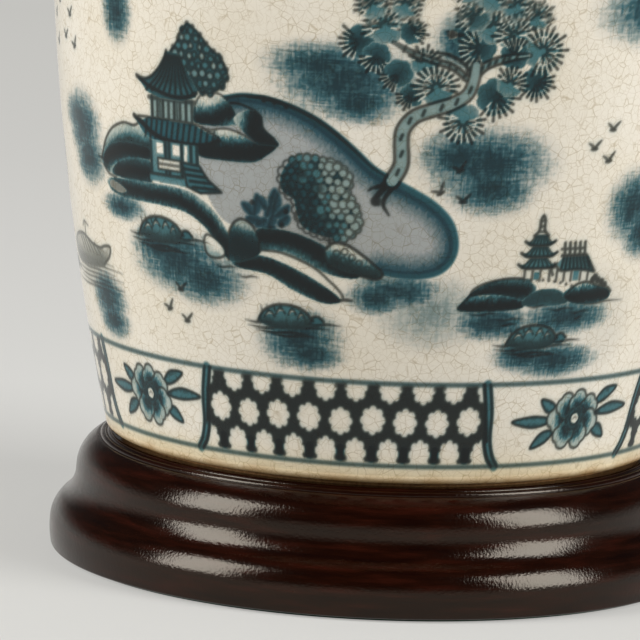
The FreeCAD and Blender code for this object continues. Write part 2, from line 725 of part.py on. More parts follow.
# The centre contact is a tongue folded back over itself.
piece("centre_contact", padded("CentreContact", [
    ("-contact_length / 2", "0"),
    ("contact_length / 2", "0"),
    ("contact_length / 2", "contact_thickness"),
    ("contact_thickness - contact_length / 2", "contact_thickness"),
    ("contact_length / 4", "contact_height - contact_thickness"),
    ("contact_length / 4", "contact_height"),
    ("-contact_length / 2", "contact_thickness * 2"),
], "XZ_Plane", "contact_width"), z=CONTACT_SEAT)

# The key is built along its own axis: the stem from the interior, then a knob with two flats.
KEY = f"({SOCKET} + key_height)"
knob_start = "(shell_radius + key_knob_stand_off)"
knob_end = f"({knob_start} + key_knob_length)"
key_blank = turned("KeyBlank", [
    ("0", "key_stem_start"),
    ("key_stem_radius", "key_stem_start"),
    ("key_stem_radius", knob_start),
    ("key_knob_radius * 0.8", knob_start),
    ("key_knob_radius", f"{knob_start} + key_knob_length * 0.3", "key_knob_length"),
    ("key_knob_radius * 0.9", f"{knob_end} - key_knob_length * 0.1", "key_knob_length"),
    ("key_knob_radius * 0.7", knob_end, "key_knob_length * 0.15"),
    ("0", knob_end),
])
key_flats = [
    place(block(f"KeyFlat{side}", "key_knob_radius * 2", "key_knob_radius", "key_knob_length"),
          x="-key_knob_radius", y=offset, z=f"{knob_start} + key_knob_length * 0.3")
    for side, offset in (("Front", "key_flat_half"), ("Rear", "-key_flat_half - key_knob_radius"))
]
piece("switch_knob", cut("Key", key_blank, *key_flats), z=KEY, roll="90")

# ---------------------------------------------------------------- bulb
BULB = f"({CONTACT_SEAT} + contact_height + flat_gap)"
BULB_CAP = f"({BULB} + bulb_contact_height)"
GLASS = f"({BULB_CAP} + bulb_cap_height)"
piece("bulb_contact", turned("BulbContact", [
    ("0", "0"),
    ("bulb_contact_radius * 0.6", "0"),
    ("bulb_contact_radius", "bulb_contact_height"),
    ("0", "bulb_contact_height"),
]), z=BULB)
piece("bulb_cap", turned("BulbCap", [
    ("0", "0"),
    ("bulb_contact_radius * 1.3", "0"),
    ("bulb_cap_radius", "bulb_cap_taper"),
    ("bulb_cap_radius", "bulb_cap_height"),
    ("0", "bulb_cap_height"),
]), z=BULB_CAP)


def cheek(radius):
    """Where a globe of this radius meets the bulb's cheek: its distance from the axis."""
    return f"sqrt(({radius})^2 - (bulb_centre_height - bulb_cheek_height)^2)"


inner_globe = "(bulb_radius - bulb_wall)"
cheek_curve = bend(f"{cheek('bulb_radius')} - bulb_cap_radius", "bulb_cheek_height - bulb_neck_height",
                   "bulb_cheek_turn")
piece("bulb_glass", turned("BulbGlass", [
    ("bulb_cap_radius - bulb_wall", "0"),
    ("bulb_cap_radius", "0"),
    ("bulb_cap_radius", "bulb_neck_height"),
    (cheek("bulb_radius"), "bulb_cheek_height", f"-{cheek_curve}"),
    ("bulb_radius", "bulb_centre_height", "bulb_radius"),
    ("0", "bulb_centre_height + bulb_radius", "bulb_radius"),
    ("0", f"bulb_centre_height + {inner_globe}"),
    (inner_globe, "bulb_centre_height", f"-{inner_globe}"),
    (cheek(inner_globe), "bulb_cheek_height", f"-{inner_globe}"),
    ("bulb_cap_radius - bulb_wall", "bulb_neck_height", cheek_curve),
]), z=GLASS)

# ---------------------------------------------------------------- shade
HUB = f"({STUD} + stud_boss_height + flat_gap)"
RING_TOP = f"({HUB} + spider_hub_thickness / 2 + spider_drop)"
SHADE = f"({RING_TOP} + shade_ring_inset - shade_height)"
SLOPE = "((shade_bottom_radius - shade_top_radius) / shade_height)"
LINER_OFFSET = "(fabric_thickness + skin_gap)"
INNER_OFFSET = f"({LINER_OFFSET} + shade_liner_thickness)"


def shade_radius(height, offset="0"):
    """The shade's radius at a height over its bottom edge, less an offset through its skins."""
    return f"(shade_bottom_radius - {SLOPE} * ({height}) - ({offset}))"


def shade_skin(name, bottom, top, outer_offset, thickness):
    """A tapered band of the shade between two heights."""
    inner_offset = f"{outer_offset} + {thickness}"
    return turned(name, [
        (shade_radius(bottom, inner_offset), bottom),
        (shade_radius(bottom, outer_offset), bottom),
        (shade_radius(top, outer_offset), top),
        (shade_radius(top, inner_offset), top),
    ])


TRIM_OFFSET = "(-trim_thickness - skin_gap)"
fabric = shade_skin("Fabric", "0", "shade_height", "0", "fabric_thickness")
liner = shade_skin("Backing", "0", "shade_height", LINER_OFFSET, "shade_liner_thickness")
bottom_trim = shade_skin("BottomTrim", "0", "trim_height", TRIM_OFFSET, "trim_thickness")
top_trim = shade_skin("TopTrim", "shade_height - trim_height", "shade_height", TRIM_OFFSET, "trim_thickness")
piece("shade_fabric", fabric, z=SHADE)
piece("shade_liner", liner, z=SHADE)
piece("shade_bottom_trim", bottom_trim, z=SHADE)
piece("shade_top_trim", top_trim, z=SHADE)

ring_gap = "(shade_wire_radius + skin_gap)"
top_ring_radius = f"({shade_radius('shade_height - shade_ring_inset', INNER_OFFSET)} - {ring_gap})"
bottom_ring_radius = f"({shade_radius('shade_ring_inset', INNER_OFFSET)} - {ring_gap})"
piece("shade_bottom_ring", torus("BottomRing", bottom_ring_radius, "shade_wire_radius"),
      z=f"{SHADE} + shade_ring_inset")

# The spider's three arms rise from the hub to the ring in the shade's top.
arm_start = "(spider_hub_radius - shade_wire_radius)"
arm_run = f"({top_ring_radius} - {arm_start})"
arms = [
    place(cylinder(f"Arm{side.title()}", "shade_wire_radius", f"sqrt({arm_run}^2 + spider_drop^2)"),
          x=f"{arm_start} * cos({angle})", y=f"{arm_start} * sin({angle})",
          yaw=str(angle), pitch=f"90 - atan(spider_drop / {arm_run}) / 1 deg")
    for side, angle in SPIDER_ARM_ANGLES.items()
]
hub_disc = place(cylinder("HubDisc", "spider_hub_radius", "spider_hub_thickness"),
                 z="-spider_hub_thickness / 2")
top_ring = place(torus("TopRing", top_ring_radius, "shade_wire_radius"), z="spider_drop")
hub_hole = place(cylinder("HubHole", "stud_radius + spider_hub_gap", "spider_hub_thickness * 4"),
                 z="-spider_hub_thickness * 2")
under_hub = place(cylinder("UnderHub", "spider_hub_radius * 1.5", "spider_hub_thickness * 2"),
                  z="-spider_hub_thickness * 2.5")
piece("shade_spider", cut("Spider", fuse("SpiderBlank", hub_disc, top_ring, *arms), hub_hole, under_hub),
      z=f"{HUB} + spider_hub_thickness / 2")

# ---------------------------------------------------------------- finial
FINIAL = f"({HUB} + spider_hub_thickness + flat_gap)"
ball_centre = "(finial_waist_height + sqrt(finial_ball_radius^2 - finial_waist_radius^2))"
ball_top = f"({ball_centre} + sqrt(finial_ball_radius^2 - finial_collar_radius^2))"
tip_start = "(finial_tip_height - finial_tip_radius)"
foot_bead = bend("0", "finial_foot_height", "finial_foot_turn")
waist = bend("finial_foot_radius - finial_waist_radius", "finial_waist_height - finial_foot_height",
             "finial_waist_turn")
tip_flare = bend("finial_collar_radius - finial_tip_radius", f"{tip_start} - {ball_top}", "finial_tip_turn")
piece("finial", turned("Finial", [
    ("stud_radius + slip_gap / 2", "0"),
    ("finial_foot_radius", "0"),
    ("finial_foot_radius", "finial_foot_height", foot_bead),
    ("finial_waist_radius", "finial_waist_height", f"-{waist}"),
    ("finial_ball_radius", ball_centre, "finial_ball_radius"),
    ("finial_collar_radius", ball_top, "finial_ball_radius"),
    ("finial_tip_radius", tip_start, f"-{tip_flare}"),
    ("0", "finial_tip_height", "finial_tip_radius"),
    ("0", "finial_hole_depth"),
    ("stud_radius + slip_gap / 2", "finial_hole_depth"),
]), z=FINIAL)

# ---------------------------------------------------------------- checks and files
doc.recompute()
faults = [f"{thing.Name}: {thing.State}" for thing in doc.Objects
          if "Invalid" in thing.State or "Error" in thing.State]
for name, thing in nodes.items():
    if thing.Shape.isNull() or not thing.Shape.isValid() or not thing.Shape.Solids:
        faults.append(f"{name}: bad shape")
if faults:
    raise RuntimeError("\n".join(faults))

os.makedirs("parts", exist_ok=True)
for name, thing in nodes.items():
    thing.Shape.exportStep(f"parts/{name}.step")
    extent = thing.Shape.BoundBox
    print(f"{name:20s} {len(thing.Shape.Solids)} solid  z {extent.ZMin:7.2f} to {extent.ZMax:7.2f}"
          f"  volume {thing.Shape.Volume / 1000:9.3f} cm3")
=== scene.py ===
import math

import bmesh
import bpy
import numpy as np
from mathutils import Matrix, Vector


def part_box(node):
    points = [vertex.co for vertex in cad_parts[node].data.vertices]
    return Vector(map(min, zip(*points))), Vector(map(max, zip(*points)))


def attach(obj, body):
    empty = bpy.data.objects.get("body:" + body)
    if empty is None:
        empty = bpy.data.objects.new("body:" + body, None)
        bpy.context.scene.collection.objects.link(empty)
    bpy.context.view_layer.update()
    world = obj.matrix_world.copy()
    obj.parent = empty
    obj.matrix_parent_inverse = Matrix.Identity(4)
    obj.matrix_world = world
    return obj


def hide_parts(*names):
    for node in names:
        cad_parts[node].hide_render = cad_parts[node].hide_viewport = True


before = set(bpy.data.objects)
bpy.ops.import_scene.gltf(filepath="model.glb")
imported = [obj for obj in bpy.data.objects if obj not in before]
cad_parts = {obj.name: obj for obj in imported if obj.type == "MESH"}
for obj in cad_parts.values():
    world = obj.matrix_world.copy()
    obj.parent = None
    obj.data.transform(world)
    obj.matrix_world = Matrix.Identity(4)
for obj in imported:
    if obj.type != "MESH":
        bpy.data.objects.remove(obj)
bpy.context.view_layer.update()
MM = 0.001


# ---------------------------------------------------------------- small tools
def srgb(code):
    """A hex colour as the linear RGBA that the shaders take."""
    channels = [int(code[i:i + 2], 16) / 255 for i in (1, 3, 5)]
    linear = [c / 12.92 if c <= 0.04045 else ((c + 0.055) / 1.055) ** 2.4 for c in channels]
    return (*linear, 1.0)


def node(tree, kind, inputs=None, stops=(), **settings):
    """Adds one node: its settings, then its sockets, each given a value, another node's output, or a
    node that stands for its first output. The (place, hex) stops are those of a colour ramp."""
    made = tree.nodes.new(kind)
    for name, value in settings.items():
        setattr(made, name, value)
    for key, value in (inputs or {}).items():
        if isinstance(value, bpy.types.Node):
            value = next(output for output in value.outputs if output.enabled)
        if isinstance(value, bpy.types.NodeSocket):
            tree.links.new(value, made.inputs[key])
        else:
            made.inputs[key].default_value = value
    bar = made.color_ramp.elements if stops else ()
    for _ in stops[2:]:
        bar.new(0.5)
    for stop, (place, code) in zip(bar, stops):
        stop.position = place
        stop.color = srgb(code)
    return made


def material(name):
    """A new material, its empty tree and the object coordinates in it."""
    made = bpy.data.materials.new(name)
    made.use_nodes = True
    made.node_tree.nodes.clear()
    return made, made.node_tree, node(made.node_tree, "ShaderNodeTexCoord").outputs["Object"]


def surface(tree, inputs):
    """Gives a material its one shader, whose sockets take values or nodes."""
    node(tree, "ShaderNodeOutputMaterial", {"Surface": node(tree, "ShaderNodeBsdfPrincipled", inputs)})


def per_mm(size):
    """A texture's scale for features that are so many millimetres apart."""
    return 1 / (size * MM)


# ---------------------------------------------------------------- finishes
def varnished_mahogany():
    """Turned hardwood under a near-black red-brown stain and a rubbed gloss varnish: the grain only
    just shows through, and the brushed varnish has an orange peel that frays the edges of its
    mirror-sharp reflections."""
    made, tree, where = material("varnished_mahogany")
    grown_up = node(tree, "ShaderNodeMapping", {"Vector": where, "Scale": (0.3, 0.3, 3)})
    grain = node(tree, "ShaderNodeTexNoise", {
        "Vector": grown_up, "Scale": per_mm(7), "Detail": 5, "Roughness": 0.6})
    stain = node(tree, "ShaderNodeValToRGB", {"Fac": grain}, (
        (0.32, "#0d0100"), (0.5, "#180501"), (0.7, "#290c05")))
    brushed = node(tree, "ShaderNodeMapping", {"Vector": where, "Scale": (1, 1, 0.4)})
    peel = node(tree, "ShaderNodeMath", {
        0: node(tree, "ShaderNodeTexNoise", {"Vector": where, "Scale": per_mm(0.8)}),
        1: node(tree, "ShaderNodeTexNoise", {"Vector": brushed, "Scale": per_mm(9), "Detail": 1})})
    bump = node(tree, "ShaderNodeBump", {"Height": peel, "Strength": 0.8, "Distance": 0.09 * MM})
    surface(tree, {"Base Color": stain, "Roughness": 0.15, "IOR": 1.4, "Specular Tint": srgb("#fff4e2"),
                   "Normal": bump})
    return made


def crackle_glaze():
    """Porcelain under a thick cream glaze that crazed as it cooled, with the colours under the glaze.
    The attribute Pigment holds the strength of the line, the wash and the grey. The cracks are a net
    of long ones and a finer net between them, faintly stained, and each fades in and out. The glaze
    is rubbed yellow and brown where it ends above the wood."""
    made, tree, where = material("crackle_glaze")
    drift = node(tree, "ShaderNodeTexNoise", {"Vector": where, "Scale": per_mm(5)})
    bend = node(tree, "ShaderNodeVectorMath", {0: drift.outputs["Color"],
                                               1: (1.1 * MM, 1.1 * MM, 1.1 * MM)},
                operation="MULTIPLY")
    bent = node(tree, "ShaderNodeVectorMath", {0: where, 1: bend})
    layers = []
    for size, width, stain in ((2.9, 0.04, "#d6cdbc"), (1.8, 0.05, "#eae6dd")):
        net = node(tree, "ShaderNodeTexVoronoi", {"Vector": bent, "Scale": per_mm(size)},
                   feature="DISTANCE_TO_EDGE")
        clear = node(tree, "ShaderNodeMapRange", {
            "Value": net, "From Min": 0.1 * width, "From Max": width * 1.5})
        patches = node(tree, "ShaderNodeTexNoise", {"Vector": where, "Scale": per_mm(size * 1.6)})
        shown = node(tree, "ShaderNodeValToRGB", {"Fac": patches}, ((0.3, "#ffffff"), (0.62, "#707070")))
        fade = node(tree, "ShaderNodeMix", {"Factor": clear, "A": shown, "B": srgb("#ffffff")},
                    data_type="RGBA")
        layers.append(node(tree, "ShaderNodeMix", {"Factor": fade, "A": srgb(stain), "B": srgb("#ffffff")},
                           data_type="RGBA"))
    pigment = node(tree, "ShaderNodeAttribute", attribute_name="Pigment")
    parts = node(tree, "ShaderNodeSeparateColor", {"Color": pigment})
    for part, stops in (("Red", ((0, "#ffffff"), (0.5, "#959795"), (1, "#2c2f2f"))),
                        ("Green", ((0, "#ffffff"), (0.3, "#a5bcc2"), (0.62, "#488091"), (1, "#165264"))),
                        ("Blue", ((0, "#ffffff"), (1, "#a5b0bd")))):
        layers.append(node(tree, "ShaderNodeValToRGB", {"Fac": parts.outputs[part]}, stops))
    height = node(tree, "ShaderNodeSeparateXYZ", {"Vector": where})
    wander = node(tree, "ShaderNodeTexNoise", {"Vector": where, "Scale": per_mm(9), "Detail": 3})
    above = node(tree, "ShaderNodeMath", {0: wander, 1: 4 * MM, 2: height.outputs["Z"]},
                 operation="MULTIPLY_ADD")
    layers.append(node(tree, "ShaderNodeValToRGB", {"Fac": above}, (
        (0.0394, "#b9935f"), (0.0402, "#f3e6c6"), (0.045, "#faf2df"), (0.048, "#ffffff"))))
    tone = node(tree, "ShaderNodeTexNoise", {"Vector": where, "Scale": per_mm(35), "Detail": 4})
    colour = node(tree, "ShaderNodeValToRGB", {"Fac": tone}, ((0.3, "#e6ddca"), (0.7, "#ede6d7")))
    for layer in layers:
        colour = node(tree, "ShaderNodeMix", {"Factor": 1.0, "A": colour, "B": layer}, data_type="RGBA",
                      blend_type="MULTIPLY")
    swell = node(tree, "ShaderNodeTexNoise", {"Vector": where, "Scale": per_mm(14), "Detail": 1})
    bump = node(tree, "ShaderNodeBump", {"Height": swell, "Strength": 0.2, "Distance": 0.05 * MM})
    surface(tree, {"Base Color": colour, "Roughness": 0.14, "IOR": 1.4, "Normal": bump})
    return made


def lacquered_brass():
    """Polished brass under a clear lacquer that has yellowed a little and dulled in blotches."""
    made, tree, where = material("lacquered_brass")
    yellowed = node(tree, "ShaderNodeTexNoise", {"Vector": where, "Scale": per_mm(18), "Detail": 4})
    tone = node(tree, "ShaderNodeValToRGB", {"Fac": yellowed}, ((0.35, "#b8924f"), (0.75, "#d0ab68")))
    blotches = node(tree, "ShaderNodeTexNoise", {"Vector": where, "Scale": per_mm(6), "Detail": 4})
    dull = node(tree, "ShaderNodeMapRange", {
        "Value": blotches, "From Min": 0.35, "From Max": 0.75, "To Min": 0.16, "To Max": 0.28})
    turned_by = node(tree, "ShaderNodeMapping", {"Vector": where, "Scale": (1, 1, 8)})
    scratches = node(tree, "ShaderNodeTexNoise", {"Vector": turned_by, "Scale": per_mm(0.9)})
    bump = node(tree, "ShaderNodeBump", {"Height": scratches, "Strength": 0.15, "Distance": 0.01 * MM})
    surface(tree, {"Base Color": tone, "Metallic": 1.0, "Roughness": dull, "Normal": bump})
    return made


def metal(name, colour, rough, grit=0.8):
    """Bare metal as it comes off the tool: an even tone over a fine directionless grain."""
    made, tree, where = material(name)
    mottle = node(tree, "ShaderNodeTexNoise", {"Vector": where, "Scale": per_mm(grit * 3), "Detail": 3})
    sheen = node(tree, "ShaderNodeMapRange", {"Value": mottle, "To Min": rough * 0.75,
                                              "To Max": rough * 1.25})
    grain = node(tree, "ShaderNodeTexNoise", {"Vector": where, "Scale": per_mm(grit)})
    bump = node(tree, "ShaderNodeBump", {"Height": grain, "Strength": 0.3, "Distance": 0.03 * MM})
    surface(tree, {"Base Color": srgb(colour), "Metallic": 1.0, "Roughness": sheen, "Normal": bump})
    return made


def matt(name, dark, light, size, rough, depth):
    """A plain matt stuff that is mottled between two tones and pitted to the same grain."""
    made, tree, where = material(name)
    grain = node(tree, "ShaderNodeTexNoise", {
        "Vector": where, "Scale": per_mm(size), "Detail": 5, "Roughness": 0.65})
    tone = node(tree, "ShaderNodeValToRGB", {"Fac": grain}, ((0.35, dark), (0.7, light)))
    bump = node(tree, "ShaderNodeBump", {"Height": grain, "Strength": 0.6, "Distance": depth * MM})
    surface(tree, {"Base Color": tone, "Roughness": rough, "Normal": bump})
    return made


WAVE_TURN = math.pi / 10                # m, after which a wave texture's bands repeat at a scale of 1


def woven_linen(name, weft, warp, pitch):
    """Plain-woven linen: threads over and under each other, with slubs where the yarn thickens. The
    real cloth has a thread every 0.6 mm, and it is drawn coarser so that the weave shows. It follows
    the UV map, which is in metres round the shade and up it."""
    made, tree, _ = material(name)
    place = node(tree, "ShaderNodeUVMap", uv_map="cloth")
    threads, slubs = [], []
    for turn, shift in ((0, 0), (math.pi / 2, 3.7)):
        lie = node(tree, "ShaderNodeMapping", {
            "Vector": place, "Rotation": (0, 0, turn), "Location": (shift, shift, 0)})
        wave = node(tree, "ShaderNodeTexWave", {
            "Vector": lie, "Scale": WAVE_TURN / (pitch * MM), "Distortion": 0.6, "Detail": 1.0,
            "Detail Scale": 0.4}, bands_direction="X")
        threads.append(wave.outputs["Fac"])
        drawn = node(tree, "ShaderNodeMapping", {"Vector": lie, "Scale": (1, 0.08, 1)})
        slubs.append(node(tree, "ShaderNodeTexNoise", {"Vector": drawn, "Scale": per_mm(1.3), "Detail": 3}))
    over = node(tree, "ShaderNodeMath", {0: threads[0], 1: threads[1]}, operation="MAXIMUM")
    both = node(tree, "ShaderNodeMath", {0: slubs[0], 1: slubs[1]})
    mean = node(tree, "ShaderNodeMath", {0: both, 1: 0.5}, operation="MULTIPLY")
    tone = node(tree, "ShaderNodeValToRGB", {"Fac": mean}, ((0.38, weft), (0.62, warp)))
    # The hollows between the threads are darkened: painted shade in the weave.
    gap_shade = node(tree, "ShaderNodeValToRGB", {"Fac": over}, ((0.1, "#cdc4b2"), (0.6, "#ffffff")))
    colour = node(tree, "ShaderNodeMix", {"Factor": 0.6, "A": tone, "B": gap_shade}, data_type="RGBA",
                  blend_type="MULTIPLY")
    bump = node(tree, "ShaderNodeBump", {"Height": over, "Strength": 0.5, "Distance": 0.12 * MM})
    surface(tree, {"Base Color": colour, "Roughness": 0.85, "Sheen Weight": 0.25, "Sheen Roughness": 0.5,
                   "Normal": bump})
    return made


def frosted_glass():
    """A bulb etched white on the inside: a smooth outer face over a soft even white."""
    made, tree, where = material("frosted_glass")
    swell = node(tree, "ShaderNodeTexNoise", {"Vector": where, "Scale": per_mm(9), "Detail": 1})
    bump = node(tree, "ShaderNodeBump", {"Height": swell, "Strength": 0.1, "Distance": 0.05 * MM})
    surface(tree, {"Base Color": srgb("#efeee9"), "Roughness": 0.12, "IOR": 1.52,
                   "Transmission Weight": 0.12, "Subsurface Weight": 0.3, "Coat Weight": 0.5,
                   "Normal": bump})
    return made
FINISH = {
    "varnished_wood": varnished_mahogany(),
    "crackle_glaze": crackle_glaze(),
    "brass": lacquered_brass(),
    "felt": matt("baize_felt", "#1c3a2b", "#2b5440", 0.5, 0.95, 0.3),
    "cast_iron": matt("painted_cast_iron", "#1d1d1e", "#2b2b2d", 1.6, 0.55, 0.25),
    "steel": metal("zinc_plated_steel", "#b9babb", 0.3),
    "black_plastic": matt("moulded_phenolic", "#161412", "#221f1c", 1.2, 0.35, 0.03),
    "cork": matt("pressed_cork", "#8a6238", "#b98a55", 1.4, 0.9, 0.25),
    "rubber": matt("moulded_rubber", "#1b1b1b", "#262626", 2.0, 0.7, 0.05),
    "insulating_paper": matt("vulcanised_fibre", "#9c8460", "#b7a07a", 1.0, 0.85, 0.08),
    "aluminium": metal("stamped_aluminium", "#c3c5c8", 0.28),
    "bulb_glass": frosted_glass(),
    "solder": metal("tinned_solder", "#a9aaab", 0.35),
    "shade_linen": woven_linen("shade_linen", "#c4baa6", "#d3cab9", 0.9 * math.pi),
    "shade_backing": matt("styrene_backing", "#ded9cf", "#e9e5dc", 3.0, 0.6, 0.02),
    "shade_trim": woven_linen("bias_binding", "#b9ad95", "#cac0ab", 0.8 * math.pi),
    "shade_wire": metal("enamelled_wire", "#b59a63", 0.3),
}


# ---------------------------------------------------------------- shapes
def arc(start, end, turn, step):
    """The points after start of an arc to end that turns by so many degrees, left if positive."""
    (x0, y0), (x1, y1) = start, end
    chord = math.hypot(x1 - x0, y1 - y0)
    half = math.radians(turn) / 2
    radius = chord / (2 * math.sin(half))
    rise = radius * math.cos(half)
    cx = (x0 + x1) / 2 - (y1 - y0) / chord * rise
    cy = (y0 + y1) / 2 + (x1 - x0) / chord * rise
    count = max(4, math.ceil(abs(2 * half * radius) / step))
    first = math.atan2(y0 - cy, x0 - cx)
    return [(cx + abs(radius) * math.cos(first + 2 * half * k / count),
             cy + abs(radius) * math.sin(first + 2 * half * k / count)) for k in range(1, count + 1)]


def new_object(name, shape):
    thing = bpy.data.objects.new(name, shape)
    bpy.context.scene.collection.objects.link(thing)
    return thing


def evaluated(thing, name=None):
    """The mesh that an object's modifiers make of it, as a plain new object in its place."""
    graph = bpy.context.evaluated_depsgraph_get()
    mesh = bpy.data.meshes.new_from_object(thing.evaluated_get(graph))
    name = name or thing.name
    bpy.data.objects.remove(thing)
    mesh.name = name
    return new_object(name, mesh)


def tidy(thing, angle=35, merge=0.0):
    """Joins what touches, points the faces outwards and smooths all but the sharp edges."""
    mesh = bmesh.new()
    mesh.from_mesh(thing.data)
    if merge:
        bmesh.ops.remove_doubles(mesh, verts=mesh.verts, dist=merge)
    bmesh.ops.recalc_face_normals(mesh, faces=mesh.faces)
    mesh.to_mesh(thing.data)
    mesh.free()
    thing.data.shade_smooth()
    thing.data.set_sharp_from_angle(angle=math.radians(angle))
    return thing


def own(thing, slot, body, node_name):
    """Gives a piece its finish and its body, and lets it stand for its node."""
    thing.data.materials.clear()
    thing.data.materials.append(FINISH[slot])
    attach(thing, body)
    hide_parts(node_name)


def span(name):
    """A node's lowest and highest height and its largest radius, in mm."""
    low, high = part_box(name)
    return low[2] / MM, high[2] / MM, (high[0] - low[0]) / 2 / MM


def lathe_tree():
    """Turns a section about the axis, as on a lathe: the section is carried round a circle."""
    tree = bpy.data.node_groups.new("lathe", "GeometryNodeTree")
    face = tree.interface
    face.new_socket("Section", in_out="INPUT", socket_type="NodeSocketGeometry")
    for name, kind in (("Centre Radius", "NodeSocketFloat"), ("Facets", "NodeSocketInt"),
                       ("Finish", "NodeSocketMaterial")):
        face.new_socket(name, in_out="INPUT", socket_type=kind)
    face.new_socket("Turned Piece", in_out="OUTPUT", socket_type="NodeSocketGeometry")
    given = node(tree, "NodeGroupInput").outputs
    circle = node(tree, "GeometryNodeCurvePrimitiveCircle", {
        "Resolution": given["Facets"], "Radius": given["Centre Radius"]})
    skin = node(tree, "GeometryNodeCurveToMesh", {"Curve": circle, "Profile Curve": given["Section"]})
    real = node(tree, "GeometryNodeRealizeInstances", {"Geometry": skin})
    finished = node(tree, "GeometryNodeSetMaterial", {"Geometry": real, "Material": given["Finish"]})
    node(tree, "NodeGroupOutput", {0: finished})
    return tree


def socket_id(tree, name):
    return next(item.identifier for item in tree.interface.items_tree if item.name == name)


def grown(name, thing, tree, **inputs):
    """The plain mesh that a node tree grows from an object, with the tree's inputs set by their names."""
    modifier = thing.modifiers.new(name, "NODES")
    modifier.node_group = tree
    for title, value in inputs.items():
        modifier[socket_id(tree, title.replace("_", " "))] = value
    return evaluated(thing, name)


LATHE = lathe_tree()
LATHE_CENTRE = 50.0                     # mm, the radius of the circle that carries a section round
MERGE = 1e-6                            # m, within which loose corners are joined
EDGE_ANGLE = 30                         # degrees, from which a solid's edge counts as sharp


def turned(name, node_name, slot, body, *steps, facets=192, step=0.2):
    """A piece turned from a closed section of steps in mm over its node's lowest height, each (radius,
    height), or (radius, height, turn) where an arc arrives there."""
    points = [steps[0][:2]]
    for here in steps[1:]:
        points += arc(points[-1], here[:2], here[2], step) if len(here) == 3 else [here]
    base = span(node_name)[0]
    line = bpy.data.curves.new(name, "CURVE")
    line.dimensions = "3D"
    section = line.splines.new("POLY")
    section.points.add(len(points) - 1)
    for point, (r, z) in zip(section.points, points):
        point.co = ((r - LATHE_CENTRE) * MM, -(z + base) * MM, 0, 1)
    section.use_cyclic_u = True
    made = grown(name, new_object(name + "_section", line), LATHE, Centre_Radius=LATHE_CENTRE * MM,
                 Facets=facets, Finish=FINISH[slot])
    own(tidy(made, merge=MERGE), slot, body, node_name)


def dressed(name, node_name, slot, body, bevel=0.0):
    """The node's own shape as a merged and smoothed copy, with its edges broken where they show."""
    thing = tidy(new_object(name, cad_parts[node_name].data.copy()), EDGE_ANGLE, MERGE)
    if bevel:
        edge = thing.modifiers.new("broken_edges", "BEVEL")
        edge.width = bevel * MM
        edge.segments = 2
        edge.limit_method = "ANGLE"
        edge.angle_limit = math.radians(EDGE_ANGLE)
        thing = tidy(evaluated(thing), EDGE_ANGLE + 10)
    own(thing, slot, body, node_name)


# ---------------------------------------------------------------- the painter's bench
# The jar is painted unrolled: u is the way round in mm at a radius of 100 mm, from the front and
# positive to the right, and v is the height in mm up to the belly, then the way over the shoulder.
# The lid follows from LID_LOW, by the way up its skirt and over its top.
# Three pots hold what is on the glaze: the dark line, the teal wash and the grey of still water.
CELLS = 5                               # cells to a mm
ROUND = 200 * math.pi                   # the way once round
LOW, HIGH = 36.0, 404.0
COLUMNS = round(ROUND * CELLS)
ROWS = round((HIGH - LOW) * CELLS)
pots = {name: np.zeros((ROWS, COLUMNS), np.float32) for name in ("line", "wash", "grey")}


def streaks(seed, along, across):
    """Noise drawn out into brush streaks, so many cells long and wide, spread about zero."""
    grain = np.random.default_rng(seed).random((ROWS, COLUMNS), dtype=np.float32)
    for axis, count in ((1, along), (0, across)):
        grain = sum(np.roll(grain, k, axis) for k in range(count)) / count
    return (grain - grain.mean()) / grain.std()


# the marks of a stiff brush, both ways, and the short upright ones of a brush dabbed on
hatch = 0.6 * streaks(11, 22, 2) + 0.6 * streaks(12, 2, 22) + 0.5 * streaks(13, 5, 5)
dabs = streaks(14, 2, 5)


def cells(low, high):
    """The canvas's cells in a box, with their u and v."""
    columns = np.arange(math.floor((low[0] + ROUND / 2) * CELLS),
                        math.ceil((high[0] + ROUND / 2) * CELLS) + 1)
    rows = np.arange(max(0, math.floor((low[1] - LOW) * CELLS)),
                     min(ROWS, math.ceil((high[1] - LOW) * CELLS) + 1))
    u = (columns + 0.5) / CELLS - ROUND / 2
    v = (rows + 0.5) / CELLS + LOW
    return np.ix_(rows, columns % COLUMNS), *np.meshgrid(u, v)


def curve(points, closed=False, step=0.7):
    """Points along a smooth curve through the points given."""
    given = np.array(points, float)
    if closed:
        given = np.vstack([given[-1], given, given[:2]])
    else:
        given = np.vstack([2 * given[0] - given[1], given, 2 * given[-1] - given[-2]])
    spans = []
    for a, b, c, d in zip(given, given[1:], given[2:], given[3:]):
        count = max(2, int(np.linalg.norm(c - b) / step))
        t = np.arange(count)[:, None] / count
        spans.append(0.5 * (2 * b + (c - a) * t + (2 * a - 5 * b + 4 * c - d) * t ** 2
                            + (3 * b - a - 3 * c + d) * t ** 3))
    return np.vstack([*spans, given[-2]])


def reach(path, u, v, radii=None):
    """The distance of each cell to a path, less the path's radius there."""
    least = np.full(u.shape, 1e9)
    radii = np.zeros(len(path)) if radii is None else radii
    for (a, b, r, s) in zip(path, path[1:], radii, radii[1:]):
        run = b - a
        t = np.clip(((u - a[0]) * run[0] + (v - a[1]) * run[1]) / max(run @ run, 1e-9), 0, 1)
        away = np.hypot(u - a[0] - t * run[0], v - a[1] - t * run[1]) - (r + (s - r) * t)
        least = np.minimum(least, away)
    return least


def inside(path, u, v):
    """Which cells lie inside a closed path."""
    odd = np.zeros(u.shape, bool)
    for a, b in zip(path, np.roll(path, -1, 0)):
        if a[1] != b[1]:
            odd ^= ((a[1] > v) != (b[1] > v)) & (u < (b[0] - a[0]) * (v - a[1]) / (b[1] - a[1]) + a[0])
    return odd


THINNEST = 0.35                         # mm, the thinnest stroke that the cells can hold


